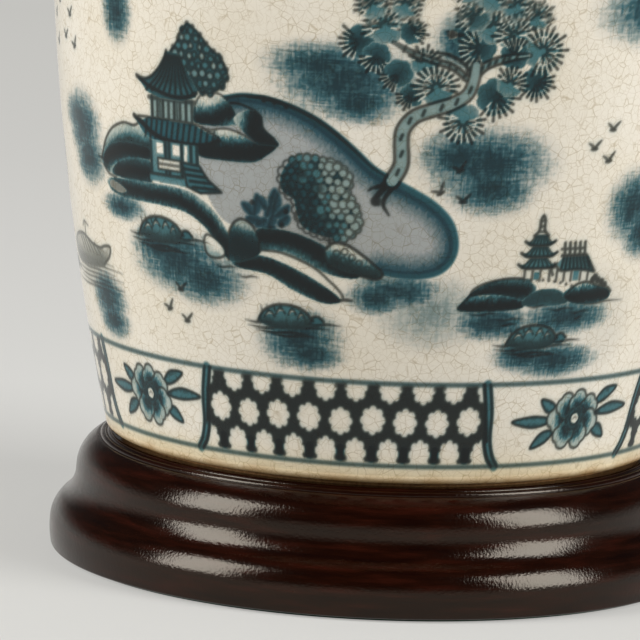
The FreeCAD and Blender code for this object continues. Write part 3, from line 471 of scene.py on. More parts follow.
class Brush:
    """A hand that draws from an origin on the jar, at a size, and turned over if mirrored."""

    def __init__(self, u=0.0, v=0.0, size=1.0, mirror=False):
        self.origin = np.array([u, v], float)
        self.size = size
        self.scale = np.array([-size if mirror else size, size])

    def at(self, u, v, size=1.0, mirror=False):
        """The same hand moved to a place in its own drawing."""
        made = Brush(*(self.origin + self.scale * (u, v)), size * self.size)
        made.scale = self.scale * (-size if mirror else size, size)
        return made

    def onto(self, points):
        return self.origin + np.asarray(points, float) * self.scale

    def path(self, points, curved=True, closed=False):
        return curve(self.onto(points), closed) if curved and len(points) > 2 else self.onto(points)

    def swept(self, points, width, ends, curved=True):
        """A stroke's path, and its radii along it for a width in mm."""
        path = self.path(points, curved)
        swell = np.interp(np.linspace(0, 1, len(path)), (0, 0.35, 0.65, 1), (ends[0], 1, 1, ends[1]))
        return path, swell * width / 2

    def stroke(self, points, width, tone=1.0, pot="line", soft=0.35, ends=(1.0, 1.0), curved=True):
        """A brush stroke that swells to its width from the shares of it given for its two ends."""
        path, radii = self.swept(points, max(width * self.size, THINNEST), ends, curved)
        for first in range(0, len(path) - 1, 10):
            part, thick = path[first:first + 11], radii[first:first + 11]
            margin = thick.max() + soft
            where, u, v = cells(part.min(0) - margin, part.max(0) + margin)
            cover = np.clip(0.5 - reach(part, u, v, thick) / soft, 0, 1)
            pots[pot][where] = np.maximum(pots[pot][where], tone * cover)

    def ring(self, points, width, tone=1.0, curved=True):
        """A stroke round a closed outline."""
        self.stroke([*points, points[0]], width, tone, curved=curved)

    def fill(self, points, tone=1.0, pot="line", curved=True, over=True, fade=None):
        """Fills a closed outline. It covers what is under it, unless it is a glaze over it. A fade is a
        path and pairs of distance from it and share of the tone there."""
        path = self.path(points, curved, closed=True)
        where, u, v = cells(path.min(0) - 0.6, path.max(0) + 0.6)
        cover = inside(path, u, v).astype(np.float32)
        for axis in (0, 1):
            cover = (np.roll(cover, 1, axis) + 2 * cover + np.roll(cover, -1, axis)) / 4
        if over:
            for each in pots.values():
                each[where] *= 1 - cover
        if fade:
            spine, stops = fade
            away = reach(self.path(spine), u, v) / self.size + 0.38 * dabs[where]
            cover = cover * np.interp(away, [s[0] for s in stops], [s[1] for s in stops])
        if tone:
            pots[pot][where] = np.maximum(pots[pot][where], tone * cover)

    def wipe(self, points, width, ends=(1.0, 1.0)):
        """Leaves the glaze bare along a stroke."""
        path, radii = self.swept(points, width * self.size, ends)
        where, u, v = cells(path.min(0) - width, path.max(0) + width)
        cover = np.clip(0.5 - reach(path, u, v, radii) / 0.35, 0, 1)
        for pot in pots.values():
            pot[where] *= 1 - cover

    def bare(self, points, curved=True):
        """Leaves the glaze bare inside an outline."""
        self.fill(points, 0, curved=curved)

    def dot(self, u, v, radius, tone=1.0, pot="line", soft=0.4):
        self.stroke([(u, v), (u + 0.01, v)], 2 * radius, tone, pot, soft)

    def circle(self, u, v, radius, width, tone=1.0, pot="line"):
        turns = np.linspace(0, 2 * math.pi, 13)
        self.stroke([(u + radius * math.cos(a), v + radius * math.sin(a)) for a in turns], width, tone, pot)

    def cloud(self, parts, tone=1.0, haze=0.5):
        """A patch of sponged wash from soft ovals (u, v, half width, half height), crossed both ways by the
        marks of a stiff brush that thin out to streaks at its edges, in a faint grey haze."""
        middles = self.onto([part[:2] for part in parts])
        spans = np.array([part[2:] for part in parts]) * self.size
        where, u, v = cells((middles - 2.0 * spans).min(0), (middles + 2.0 * spans).max(0))
        depth = np.full(u.shape, -1.0)
        for middle, span in zip(middles, spans):
            away = np.hypot((u - middle[0]) / span[0], (v - middle[1]) / span[1])
            depth = np.maximum(depth, 1 - away ** 1.6 / 1.9)
        marks = hatch[where]
        wash = np.clip((depth - 0.04 + 0.085 * np.clip(marks, -3, 2.4)) / 0.95, 0, 1) ** 1.2
        wash *= 1 + 0.09 * np.clip(marks, -2, 1)
        pots["wash"][where] = np.maximum(pots["wash"][where], tone * wash)
        core = 0.34 * tone * np.clip((depth - 0.62 + 0.04 * marks) / 0.4, 0, 1)
        pots["line"][where] = np.maximum(pots["line"][where], core)
        pots["grey"][where] = np.maximum(pots["grey"][where], haze * np.clip((depth + 0.3) / 0.8, 0, 1))


# ---------------------------------------------------------------- the borders' motifs
LINE_LOW, LINE_HIGH = 43.2, 68.3        # the border's two plain lines
HOLE_PITCH = 10.93                      # between the fences' scalloped holes
SHOULDER_LINE = 294.0                   # the line from which the shoulder's lappets hang
LAPPETS = 16
LID_LOW = 326.0


def scallop(u, v, radius, lobes=8, depth=0.13, squeeze=1.0):
    """The outline of a small flower with round lobes, squeezed sideways to a share of its width."""
    turns = np.linspace(0, 2 * math.pi, 6 * lobes, endpoint=False)
    swell = radius * (1 - depth + depth * np.abs(np.cos(turns * lobes / 2)) ** 0.7 * 1.6)
    return [(u + squeeze * r * math.cos(a), v + r * math.sin(a)) for r, a in zip(swell, turns)]


def lattice(pen, start, end):
    """A pierced fence between two bars: a row of scalloped holes, and half rows cut by the lines."""
    count = max(1, round((end - start) / HOLE_PITCH))
    pitch = (end - start - 2.2) / count
    middle = 0.5 * (LINE_LOW + LINE_HIGH) + 0.9
    board = [(start + 1.5, LINE_HIGH - 0.4), (end - 2, LINE_HIGH - 0.4), (end, middle),
             (end + 2, LINE_LOW + 1), (start - 2, LINE_LOW + 1), (start, middle)]
    pen.fill(board, 0.97, curved=False)
    pen.fill(board, 0.12, "wash", curved=False, over=False)
    first = start + 0.8 + pitch / 2
    places = [first + number * pitch for number in range(count + 1)]
    for u in places:
        wobble = 0.4 * math.sin(7.3 * u)
        if u != places[-1]:
            pen.bare(scallop(u, middle + wobble, 4.15 + 0.25 * wobble, squeeze=0.92))
        for v, radius, squeeze in ((10.0 + wobble / 2, 4.2, 0.84), (-9.9, 4.5, 0.8), (-12.9, 3.6, 0.9)):
            pen.bare(scallop(u - pitch / 2 - wobble, middle + v, radius, squeeze=squeeze))
    for u in places[:-1]:
        pen.stroke([(u, LINE_LOW + 4.6), (u, LINE_LOW + 2.2)], 2.6, 0.8, "wash", 1.2)
        pen.stroke([(u - 1.1, LINE_LOW + 2.0), (u + 1.3, LINE_LOW + 1.8)], 2.0, 0.85, "line", 0.8)
        pen.stroke([(u - 1.2, LINE_HIGH - 1.2), (u + 1.2, LINE_HIGH - 1.0)], 1.8, 0.8, "line", 0.8)
    for side, edge in ((-1, start), (1, end)):
        bar = [(edge - side * 1.6, LINE_HIGH), (edge - side * 0.2, LINE_HIGH - 7),
               (edge + side * 0.2, middle + 1), (edge + side * 0.6, LINE_LOW + 8),
               (edge + side * 2.2, LINE_LOW + 3), (edge + side * 4.4, LINE_LOW)]
        pen.stroke(bar, 3.0, 0.55, "wash", 0.8)
        pen.stroke([(u + side * 1.0, v) for u, v in bar], 1.1, 0.85)
        pen.stroke([(u - side * 1.2, v) for u, v in bar], 1.3, 0.95)


def leaf(pen, tail, tip, width, bow=0.0):
    """A leaf from its tail to its tip: an outline round a wash, with a light vein."""
    (a, b), (c, d) = tail, tip
    run, rise = c - a, d - b
    length = math.hypot(run, rise)
    aside = (-rise / length, run / length)

    def spot(along, out):
        out += bow * length * math.sin(math.pi * along)
        return a + run * along + aside[0] * out, b + rise * along + aside[1] * out
    edge = [spot(along, out * width) for along, out in (
        (0, 0), (0.3, 0.42), (0.6, 0.5), (1, 0), (0.6, -0.5), (0.3, -0.42))]
    pen.fill(edge, 0.62, "wash")
    pen.fill(edge, 0.42, over=False, fade=([spot(0.25, 0), spot(1, 0)], [(0, 0), (0.5, 0.1), (1.2, 1)]))
    pen.ring(edge, 0.75, 0.95)


def flower(pen):
    """A full-blown flower between six leaves."""
    for tail, tip, width, bow in (((-8, 0.4), (-24.5, 0.4), 3.2, 0.02), ((9, 1.2), (25, 2.4), 3.2, 0.03),
                                  ((-7, 3), (-14.5, 6.8), 3.2, 0.06), ((8, 4), (18, 8.8), 3.4, 0.05),
                                  ((-7, -3), (-16, -8.0), 3.4, -0.05), ((8, -2.4), (16, -6.4), 3.4, 0.05)):
        leaf(pen, tail, tip, width, bow)
    petals = [(-6.4, 0.8, 4.4), (-4.0, 4.4, 3.8), (1.2, 5.0, 3.9), (6.0, 3.4, 3.8), (7.0, -1.4, 4.0),
              (3.0, -4.8, 4.0), (-3.2, -4.4, 4.1)]
    for x, y, radius in petals:
        petal = scallop(x, y, radius, 4, 0.12)
        pen.fill(petal, 1.0, "wash",
                 fade=([(0.2 * x, 0.2 * y), (0.7 * x, 0.7 * y)], [(0, 1), (1.8, 0.85), (4.2, 0.2)]))
        pen.fill(petal, 0.85, over=False,
                 fade=([(0.1 * x, 0.1 * y), (0.6 * x, 0.6 * y)], [(0, 1), (1.4, 0.7), (3.4, 0)]))
        pen.ring(petal, 0.7, 0.92)
    heart = scallop(0.4, 0, 3.9, 6, 0.14)
    pen.fill(heart, 0.75, "wash")
    pen.fill(heart, 0.7, over=False, fade=([(0.4, 0.3), (0.5, 0.3)], [(1.6, 0), (3.4, 1)]))
    pen.bare(scallop(0.6, 0.3, 1.7, 5, 0.1))
    pen.circle(0.6, 0.3, 2.0, 0.7, 0.9)
    pen.stroke([(-0.2, 0.2), (0.8, 0.8), (1.4, 0.2)], 0.5, 0.6)


# ---------------------------------------------------------------- land and water
def bank(pen, edge, spine, stops, tone=0.95, wash=0.8):
    """A slope of land: wash under line, both deep along a spine and fading away from it."""
    pen.fill(edge, tone, fade=(spine, stops))
    soft = [(away * 1.5 + 0.4, share) for away, share in stops]
    pen.fill(edge, wash, "wash", over=False, fade=(spine, soft))


def ripples(pen, lines, width=0.6, tone=0.75):
    """Level strokes on water, each from u to u at v."""
    for first, last, v in lines:
        third = (last - first) / 3
        pen.stroke([(first, v + 0.2), (first + third, v - 0.25), (last - third, v + 0.25), (last, v)],
                   width, tone, ends=(0.3, 0.3))


def birds(pen, places):
    """Small birds on the wing, each at (u, v) with a tilt in degrees."""
    for u, v, tilt in places:
        c, s = math.cos(math.radians(tilt)), math.sin(math.radians(tilt))

        def spot(x, y):
            return u + c * x - s * y, v + s * x + c * y
        pen.stroke([spot(-2.3, 0.9), spot(-1.1, 0.3), spot(0, -0.6)], 0.85, 0.86, ends=(0.4, 1))
        pen.stroke([spot(0, -0.6), spot(1.0, 0.7), spot(2.1, 2.0)], 0.95, 0.86, ends=(1, 0.5))
        pen.stroke([spot(-0.9, -0.9), spot(0.1, -0.7), spot(1.0, -0.6)], 1.25, 0.9, ends=(0.6, 0.6))


def lake(pen):
    """Still water in a deep blue rim that thins where the bank hides it."""
    rim = [(-51, 148.2), (-45, 149.4), (-38, 149.0), (-31, 147.4), (-24, 144.4), (-18, 140.4), (-12, 135.4),
           (-7, 131.0), (-1, 127.6), (5, 124.6), (11, 121.0), (15.6, 116.4), (17.6, 111.0), (17.0, 106.4),
           (14, 103.0), (9, 101.4), (3, 101.2), (-3, 102.0)]
    shore = [(-10, 104), (-22, 108), (-34, 110), (-44, 112), (-52, 113), (-58, 121), (-60, 132), (-58, 142)]
    pen.fill([*rim, *shore], 0.9, "grey")
    pen.fill([*rim, *shore], 0.8, "wash", over=False, fade=(rim,
                                                            [(0, 1), (1.8, 0.85), (3.6, 0.42), (7.0, 0)]))
    pen.stroke(rim, 3.5, 0.97, "wash", soft=0.9, ends=(0.8, 0.7))
    pen.stroke([(u + 0.5, v + 0.9) for u, v in rim[:9]], 1.3, 0.85, soft=0.9, ends=(0.6, 0.3))
    pen.stroke([(-44, 150.0), (-39, 150.2), (-33, 149.0), (-29, 147.8)], 1.5, 0.95, ends=(0.3, 0.3))
    for u, v in ((-38.6, 149.6), (-35.4, 149.2), (-32, 148.3)):
        pen.dot(u, v, 0.8, 0.95)


def near_banks(pen):
    """The rocks and banks along the lake's near shore."""
    # the long bank that sweeps down to the right
    bank(pen, [(-101, 119.5), (-90, 120.6), (-75, 121.0), (-64, 120.2), (-56, 116.0), (-51, 109.6),
               (-49.6, 103.6), (-51.4, 102.0), (-55, 106.4), (-60, 111.2), (-67, 114.2), (-80, 115.0),
               (-92, 114.8), (-100, 116.6)],
         [(-97, 117.8), (-80, 117.6), (-68, 117.0), (-59, 113.0), (-53, 107.0), (-51, 103)],
         [(0, 1), (1.1, 0.85), (2.4, 0.35), (3.6, 0.05)])
    pen.fill([(-99, 119.4), (-94, 118.6), (-91, 117.0), (-95, 116.0), (-100, 117.4)], 0.5)
    # the boulder and the two long rocks below the lake
    bank(pen, [(-41, 111.6), (-33, 112.0), (-25, 110.2), (-17, 106.6), (-11, 102.2), (-10, 99.6),
               (-16, 99.6), (-26, 102.0), (-34, 104.0), (-41, 105.6)],
         [(-41, 109.6), (-32, 109.8), (-24, 107.2), (-16, 102.4), (-11, 100)],
         [(0, 1), (1.6, 0.9), (2.8, 0.4), (4.2, 0.1)])
    pen.bare([(-40, 105.4), (-33, 105.4), (-24, 102.2), (-17, 98.2), (-14.6, 94.0), (-16.6, 93.4),
              (-24, 97.2), (-33, 101.6), (-40, 103.4)])
    bank(pen, [(-50, 102), (-41, 103.8), (-33, 102.2), (-24, 98.4), (-16.4, 93.8), (-15.6, 92.0),
               (-21, 91.6), (-30, 94.6), (-38, 98.6), (-48, 99.8)],
         [(-47, 101.2), (-38, 101.0), (-29, 97.8), (-21, 94), (-16.5, 92.2)],
         [(0, 1), (1.5, 0.9), (2.6, 0.35), (3.6, 0.1)])
    pen.stroke([(-40, 105.6), (-33, 105.2), (-24, 102.0), (-18.6, 98.0), (-15.2, 94.8), (-14.4, 93.2)], 0.7,
               0.9)
    pen.stroke([(-15.6, 92.4), (-13.6, 92.8), (-11.4, 92.6)], 0.9, 0.9, ends=(1, 0.4))
    boulder = [(-50.6, 101.4), (-50.8, 107.4), (-49.2, 112.0), (-46.4, 114.0), (-43.2, 112.8), (-41, 109.4),
               (-40.6, 104.6), (-45, 102.0)]
    foot = [(-41, 104), (-48, 106)]
    pen.fill(boulder, 0.85, fade=(foot, [(0, 0.95), (2.6, 0.85), (5.4, 0.35), (7, 0.1)]))
    pen.fill(boulder, 0.9, "wash", over=False, fade=(foot, [(0, 1), (4.4, 0.85), (6.8, 0.2)]))
    pen.stroke([(-51, 101.6), (-51.0, 107.4), (-49.4, 112.0), (-46.4, 114.1), (-43.0, 112.8),
                (-40.9, 109.4), (-40.4, 105)], 0.8, 0.92)
    ripples(pen, [(-56, -48, 99.4), (-48, -41, 97.2)], 0.7)
    # the rock set with pebbles
    rock = [(-20.4, 107.0), (-17.6, 109.4), (-13.6, 109.0), (-9.4, 106.6), (-5.2, 103.4), (-2.8, 101.0),
            (-4.6, 99.4), (-9.4, 100.2), (-15, 101.2), (-19.4, 103.4)]
    pen.fill(rock, 0.55, "wash", fade=([(-19, 104.4), (-12, 102.0), (-5, 100.4)],
                                       [(0, 1), (2.4, 0.9), (4, 0.1)]))
    pen.fill(rock, 0.85, over=False, fade=([(-18, 103.6), (-12, 101.6), (-5, 100.2)],
                                           [(0, 1), (1.6, 0.8), (3, 0)]))
    pen.ring(rock, 0.9, 0.95)
    for u, v in ((-16.6, 106.4), (-14.2, 107.0), (-14.8, 104.4), (-12, 105.4), (-12.6, 103.0),
                 (-9.8, 103.8), (-10, 101.8), (-7.4, 102.2), (-17.4, 104.4)):
        pen.circle(u, v, 0.95, 0.5, 0.8)
    # the pebble at the foot of the sweep
    pebble = [(-59.6, 106.2), (-58.6, 108.2), (-55.8, 107.6), (-52.6, 105.0), (-52.4, 102.8),
              (-55.4, 101.6), (-58.6, 102.6)]
    pen.bare(pebble)
    pen.fill(pebble, 0.35, "wash", over=False, fade=([(-59, 103), (-55, 102)],
                                                     [(0, 1), (2.4, 0.3), (4, 0)]))
    pen.ring(pebble, 0.7, 0.9)


def left_dome(pen):
    """The rounded rock beside the pavilion, in layers under one outline."""
    dome = [(-103.6, 125.6), (-101.8, 129.2), (-99.4, 132.6), (-95.6, 135.4), (-90.4, 137.2), (-85, 137.2),
            (-79.6, 136), (-78.6, 128), (-79, 121), (-90, 120.6), (-99, 121.4), (-102.8, 123.4)]
    pen.fill(dome, 0.7, "wash",
             fade=([(-102, 124), (-96, 129), (-88, 132.4), (-79, 132)],
                   [(0, 1), (1.8, 0.8), (4, 0.3), (6, 0.1)]))
    pen.fill(dome, 0.8, over=False,
             fade=([(-102, 123), (-97, 128.6), (-89, 131.4), (-79, 131)],
                   [(0, 1), (1.2, 0.8), (2.6, 0.2), (4, 0)]))
    bank(pen, [(-103, 125.4), (-100, 128.8), (-95, 131.0), (-88, 131.8), (-79.4, 131.2), (-79.6, 127.6),
               (-86, 127.4), (-92, 126.2), (-96, 124.0), (-102, 123.6)],
         [(-102, 125.4), (-97, 127.8), (-90, 129.6), (-80, 129.8)],
         [(0, 1), (1.6, 0.9), (2.8, 0.3), (3.6, 0.1)])
    bank(pen, [(-96.4, 124.0), (-92.6, 126.0), (-87, 127.4), (-79.4, 127.4), (-78.8, 121.4), (-88, 120.8),
               (-98, 121.4)],
         [(-95, 122.4), (-88, 123.6), (-80, 123.6)], [(0, 1), (1.6, 0.85), (3, 0.45), (4.2, 0.2)])
    pen.stroke([(-94, 125), (-89, 127.0), (-84, 127.8), (-79.6, 127.6)], 0.9, 0.1, "line")
    pen.stroke([(-103.8, 125.4), (-101.8, 129.4), (-99.4, 132.7), (-95.6, 135.6), (-90.4, 137.4),
                (-85.6, 137.2), (-83, 138.4)], 0.75, 0.92)
    pen.stroke([(-106, 125.6), (-103, 125.0), (-100.6, 124.2)], 0.9, 0.85, ends=(0.4, 1))
    pen.stroke([(-103, 123.4), (-100.4, 121.2), (-96, 120.4)], 0.8, 0.8)


def right_rocks(pen):
    """The two white-topped rocks that run out into the lake behind the pavilion."""
    upper = [(-61, 141.0), (-61.4, 145.6), (-58.4, 149.2), (-53.0, 150.0), (-49.2, 147.6), (-47.4, 144.6),
             (-45, 142.6), (-50, 141.0)]
    bank(pen, upper, [(-60, 141.6), (-54, 142.6), (-48, 145.4), (-45.6, 143)],
         [(0, 1), (1.5, 0.85), (2.8, 0.25), (3.8, 0.02)])
    pen.stroke([(-61, 146.2), (-58.4, 149.3), (-53.0, 150.1), (-50, 148.4)], 0.6, 0.85)
    tip = [(-48, 142.4), (-47, 144.6), (-43.0, 146.2), (-39.4, 144.8), (-38.8, 141.2), (-35.2, 138.4),
           (-34.2, 136.6), (-38, 135.4), (-42, 137.6)]
    bank(pen, tip, [(-34.6, 136.6), (-39, 138.4), (-41.6, 140.2), (-41, 144)],
         [(0, 1), (1.8, 0.95), (3.0, 0.4), (4.6, 0.05)])
    pen.stroke([(-49.6, 147.6), (-46.6, 147.8), (-42.4, 146.6), (-39.6, 144.8), (-38.8, 141.2),
                (-35.4, 138.4)],
               0.7, 0.92)
    lower = [(-60, 131.4), (-60.4, 136.6), (-57, 139.0), (-50.6, 140.0), (-45.2, 138.8), (-41.6, 136.8),
             (-35, 136.4), (-38, 133.4), (-42, 131.2), (-50, 130.8)]
    bank(pen, lower, [(-60, 133.0), (-50, 133.2), (-42, 134.0), (-35, 136.2)],
         [(0, 1), (1.9, 0.95), (3.0, 0.3), (4.2, 0.0)])
    pen.stroke([(-57.4, 138.8), (-50.6, 140.1), (-45.2, 138.9), (-41.4, 137)], 0.6, 0.85)


def ringed_tree(pen, crown, seed, pitch=2.5):
    """A tree whose leaves are drawn as small pale cells in a dark crown."""
    edge = curve(crown, closed=True)
    pen.fill(crown, 0.75, "wash")
    pen.fill(crown, 0.6, over=False, fade=([crown[3], crown[6]], [(0, 1), (2.5, 0.8), (7, 0.35)]))
    rng = np.random.default_rng(seed)
    (left, low), (right, high) = edge.min(0), edge.max(0)
    for row in range(int((high - low) / pitch) + 1):
        for column in range(int((right - left) / pitch) + 1):
            u = left + pitch * (column + 0.5 * (row % 2) + 0.35 * rng.random())
            v = low + pitch * (row + 0.35 * rng.random())
            if not inside(edge, np.array([[u]]), np.array([[v]]))[0, 0]:
                continue
            radius = pitch * (0.36 + 0.14 * rng.random())
            cell = scallop(u, v, radius, 4, 0.04, 0.75 + 0.3 * rng.random())
            pen.fill(cell, 0.25 + 0.5 * rng.random(), "wash")
            pen.ring(cell, 0.6, 0.9)
    for k in range(0, len(edge) - 1, 4):
        pen.dot(edge[k][0], edge[k][1], 0.8, 0.85)
    pen.ring(crown, 0.7, 0.85)


def pavilion(pen):
    """A two-storey pavilion with curled eaves, and steps down to the water."""
    ringed_tree(pen, [(-63.3, 169.4), (-65.4, 166.6), (-67.2, 163.5), (-69.4, 160.8), (-71.0, 157.6),
                      (-67.6, 153.6), (-61.4, 150.8), (-56.1, 149.8), (-51.6, 152.4), (-49.9, 155.9),
                      (-52.0, 160.3), (-56.2, 163.6), (-59.5, 167.1)], 8)
    # upper storey, then its roof with tiles in stripes
    pen.fill([(-78, 140.6), (-78, 147), (-61.6, 147), (-61.6, 140.6)], 0.3, "wash", curved=False)
    for number in range(8):
        u = -77.2 + 2.16 * number
        pen.stroke([(u, 140.4), (u + 0.1, 147)], 1.0, 0.92 if number % 2 == 0 else 0.8)
        if number % 3 == 1:
            pen.stroke([(u + 1.1, 141), (u + 1.1, 146)], 0.6, 0.7)
    pen.stroke([(-78.4, 146.4), (-61, 146.6)], 1.4, 0.75)
    roof = [(-82.8, 151.6), (-80.2, 151.4), (-77.4, 152.4), (-74.2, 155.2), (-71.8, 158.6), (-71.2, 160.4),
            (-67, 160.2), (-64.6, 157), (-61.6, 152.6), (-60, 150.4), (-60.8, 148.2), (-66, 146.6),
            (-74, 146.6), (-79, 148.0)]
    pen.fill(roof, 0.72, "wash", curved=False)
    pen.fill(roof, 0.6, over=False, curved=False,
             fade=([(-80, 150), (-70, 148), (-61, 149)], [(0, 0.2), (1.6, 0.3), (4, 0.75), (10, 0.9)]))
    for number in range(9):
        top, foot = -70.8 + 0.62 * number, -79.4 + 2.3 * number
        pen.stroke([(top, 159.4), (0.62 * top + 0.38 * foot, 153.6), (foot, 148.4)], 0.75, 0.92)
    pen.stroke([(-83.2, 152.0), (-80.4, 150.6), (-77, 149.2), (-70, 147.6), (-64, 147.8), (-60.4, 149.4)],
               1.2, 0.95)
    pen.stroke([(-83.4, 152.3), (-80.2, 151.6), (-77.2, 152.6), (-74, 155.4), (-71.6, 159), (-71, 160.8)],
               0.9, 0.95)
    # lower roof
    eaves = [(-85.0, 139.8), (-81.6, 139.2), (-79, 140.4), (-62, 140.2), (-57, 138.2), (-53.2, 136.8),
             (-54.2, 135.4), (-58, 134.0), (-64, 133.6), (-77, 133.8), (-81.4, 135.6)]
    pen.fill(eaves, 0.85, "wash", curved=False)
    for number in range(13):
        u = -80.6 + 2.1 * number
        pen.stroke([(u + 0.9, 139.6 - 0.012 * max(0, number - 8) ** 3), (u, 134.6)], 0.8, 0.8)
    pen.stroke([(-85.2, 140.2), (-81.6, 138.4), (-78, 136.2), (-72, 134.4), (-63, 134.0), (-57, 134.6),
                (-53, 136.4)],
               1.5, 0.95)
    pen.stroke([(-85, 140), (-79.4, 140.4), (-62, 140.3), (-56, 138.4), (-53, 137)], 0.8, 0.9)
    # lower storey with its posts, two windows and a balcony
    pen.fill([(-79, 123.4), (-79, 134), (-60.4, 134), (-59.6, 123.4)], 0.5, "wash", curved=False)
    for left in (-76.2, -69.8):
        pen.bare([(left, 130.2), (left + 2.8, 130.2), (left + 2.8, 133.4), (left, 133.4)], curved=False)
    pen.bare([(-65.6, 124.6), (-64.4, 124.6), (-64.2, 133.6), (-65.4, 133.6)], curved=False)
    for u in (-78.6, -72.6, -71.2, -66.4, -63.0, -60.8):
        pen.stroke([(u, 123.6), (u + 0.1, 134)], 1.15, 0.82)
    balcony = [(-75.8, 125.6), (-67.0, 125.6), (-67.0, 128.8), (-75.8, 128.8)]
    pen.bare(balcony, curved=False)
    pen.ring(balcony, 0.7, 0.85, curved=False)
    pen.stroke([(-75.4, 127.2), (-67.4, 127.2)], 0.9, 0.7)
    pen.fill([(-79.6, 121.8), (-79.6, 124), (-66, 124), (-63.6, 121.4)], 0.55, "wash", curved=False)
    pen.stroke([(-80, 124.0), (-66.4, 124.0)], 0.9, 0.85)
    # the steps
    steps = [(-66.4, 128.6), (-60, 128.2), (-57.4, 124.6), (-52.6, 121.2), (-60, 120.2), (-64.8, 121.6)]
    pen.fill(steps, 0.72, "wash", curved=False)
    for number in range(4):
        pen.stroke([(-65.8 + 1.0 * number, 126.8 - 1.7 * number),
                    (-59.0 + 1.6 * number, 126.6 - 1.6 * number)],
                   0.8, 0.88)
    pen.ring(steps, 0.8, 0.88, curved=False)


def bush(pen):
    """A round bush of ringed leaves, dark on the left and lighter on the right, and small plants."""
    lobes = [(-33.6, 127.0), (-31.6, 131.4), (-27.0, 133.8), (-21.0, 133.4), (-15.6, 131.6), (-13.4, 127.6),
             (-13.6, 123.6), (-11.0, 119.6), (-10.8, 114.0), (-14.6, 111.2), (-20.6, 111.4), (-26.6, 113.6),
             (-28.8, 118.4), (-29.6, 121.6), (-32.6, 123.4)]
    pen.fill(lobes, 0.95, "wash")
    pen.fill(lobes, 0.3, over=False,
             fade=([(-31, 126), (-25, 126), (-24, 118), (-19, 113)], [(0, 1), (3, 0.6), (7, 0)]))
    rng = np.random.default_rng(5)
    edge = curve(lobes, closed=True)
    spots = [(edge[k][0], edge[k][1]) for k in range(0, len(edge) - 2, 3)]
    for row in range(11):
        for column in range(10):
            u = -33.4 + 2.5 * column + 1.25 * (row % 2) + 0.9 * rng.random()
            v = 112.4 + 2.1 * row + 0.8 * rng.random()
            if inside(edge, np.array([[u]]), np.array([[v]]))[0, 0]:
                spots.append((u, v))
    for u, v in spots:
        light = (u + 0.45 * v - 31.5 + 5.0 * rng.random()) / 6.0
        radius = 1.05 + 0.5 * rng.random()
        if light > 0.4:
            pen.fill(scallop(u, v, radius, 5, 0.05), max(0.28, 0.9 - 0.4 * light), "wash")
        pen.circle(u, v, radius, 0.55, 0.8)
    for u, v in ((-31, 125), (-27, 129), (-25, 121), (-22, 125), (-20, 116), (-24, 115), (-28, 123)):
        pen.dot(u, v, 1.3, 0.6, soft=1.6)
    pen.stroke([(-19, 111.4), (-18.6, 108.8), (-17.4, 108.0)], 0.8, 0.9)
    for tail, tip in (((-43, 116), (-45.4, 118.6)), ((-42, 116), (-41, 121.4)), ((-40, 114), (-44, 114.6)),
                      ((-38, 116), (-36.6, 119.6)), ((-38.4, 118), (-41, 121)),
                      ((-36, 117), (-34.6, 122.4)), ((-35, 116), (-31.4, 119.0)),
                      ((-34, 114), (-31.6, 116)), ((-41, 113), (-38.4, 114.6)),
                      ((-37.4, 113), (-36, 116.4)), ((-36.8, 120), (-35.4, 123.4)),
                      ((-39, 111.6), (-36, 112.6))):
        middle = ((tail[0] + tip[0]) / 2 + 0.5, (tail[1] + tip[1]) / 2)
        pen.stroke([tail, middle, tip], 3.0, 0.85, "wash", 1.2, (0.6, 0.5))
        pen.stroke([tail, tip], 1.1, 0.5, "line", 0.9, (0.6, 0.5))
    for u, v in ((-45, 113.4), (-37, 112.0), (-33.4, 113.4), (-32, 117.6), (-42.6, 119.4)):
        pen.dot(u, v, 0.8, 0.8)


# ---------------------------------------------------------------- the pine
def head(pen, u, v, radius, light, lean, spread):
    """A head of pine needles: a teal pad, a fan of light needles in it and dark ones that stand out of
    its edge, over a spread of degrees about the way it leans."""
    pad = scallop(u, v, 0.86 * radius, 7, 0.08)
    middle = [(u, v), (u + 0.1, v)]
    pen.fill(pad, 0.86 if light < 0.4 else 0.62, "wash",
             fade=(middle, [(0, 1), (0.6 * radius, 0.9), (radius, 0.55)]))
    pen.fill(pad, 0.6, over=False, fade=(middle, [(0, 0.0 if light > 0.4 else 0.8), (radius, 0.2)]))
    around = max(6, round(spread / 360 * (15 + radius)))

    def spot(number, share):
        """A place out from the middle by a share of the radius, along a needle or a half one."""
        turn = math.radians(lean + spread * ((number + 0.5) / around - 0.5))
        return u + share * radius * math.cos(turn), v + share * radius * math.sin(turn)

    for k in range(around):
        pen.wipe([spot(k + 0.5, 0.62), spot(k + 0.5, 1.05)], 0.5)
        if light > 0.1 * (k * 7 % 10):
            pen.wipe([spot(k, 0.3 + 0.08 * (k % 3)), spot(k, 0.6)], 0.85, (0.5, 0.9))
    for k in range(around):
        near, far = 0.6 + 0.14 * math.sin(5.1 * k + v), 1.04 + 0.14 * math.sin(2.7 * k + u)
        pen.stroke([spot(k, near), spot(k, far)], 0.95, 0.95, ends=(0.5, 0.9))
        if k % 2:
            pen.stroke([spot(k + 0.5, 0.18), spot(k + 0.5, 0.55)], 0.6, 0.9)


def limb(pen, path, width, ends=(1.0, 0.6)):
    """A branch in outline round a wash, spotted with knots."""
    pen.stroke(path, width, 0.95, ends=ends)
    inner = max(width - 1.7, 0.5)
    pen.wipe(path, inner, ends)
    pen.stroke(path, inner, 0.36, "wash", ends=ends)
    way = curve(path)
    for share in np.arange(0.08, 0.95, 0.11):
        u, v = way[int(share * (len(way) - 1))]
        pen.stroke([(u - 0.3, v - 0.8), (u + 0.25, v + 0.7)], 0.9, 0.88)


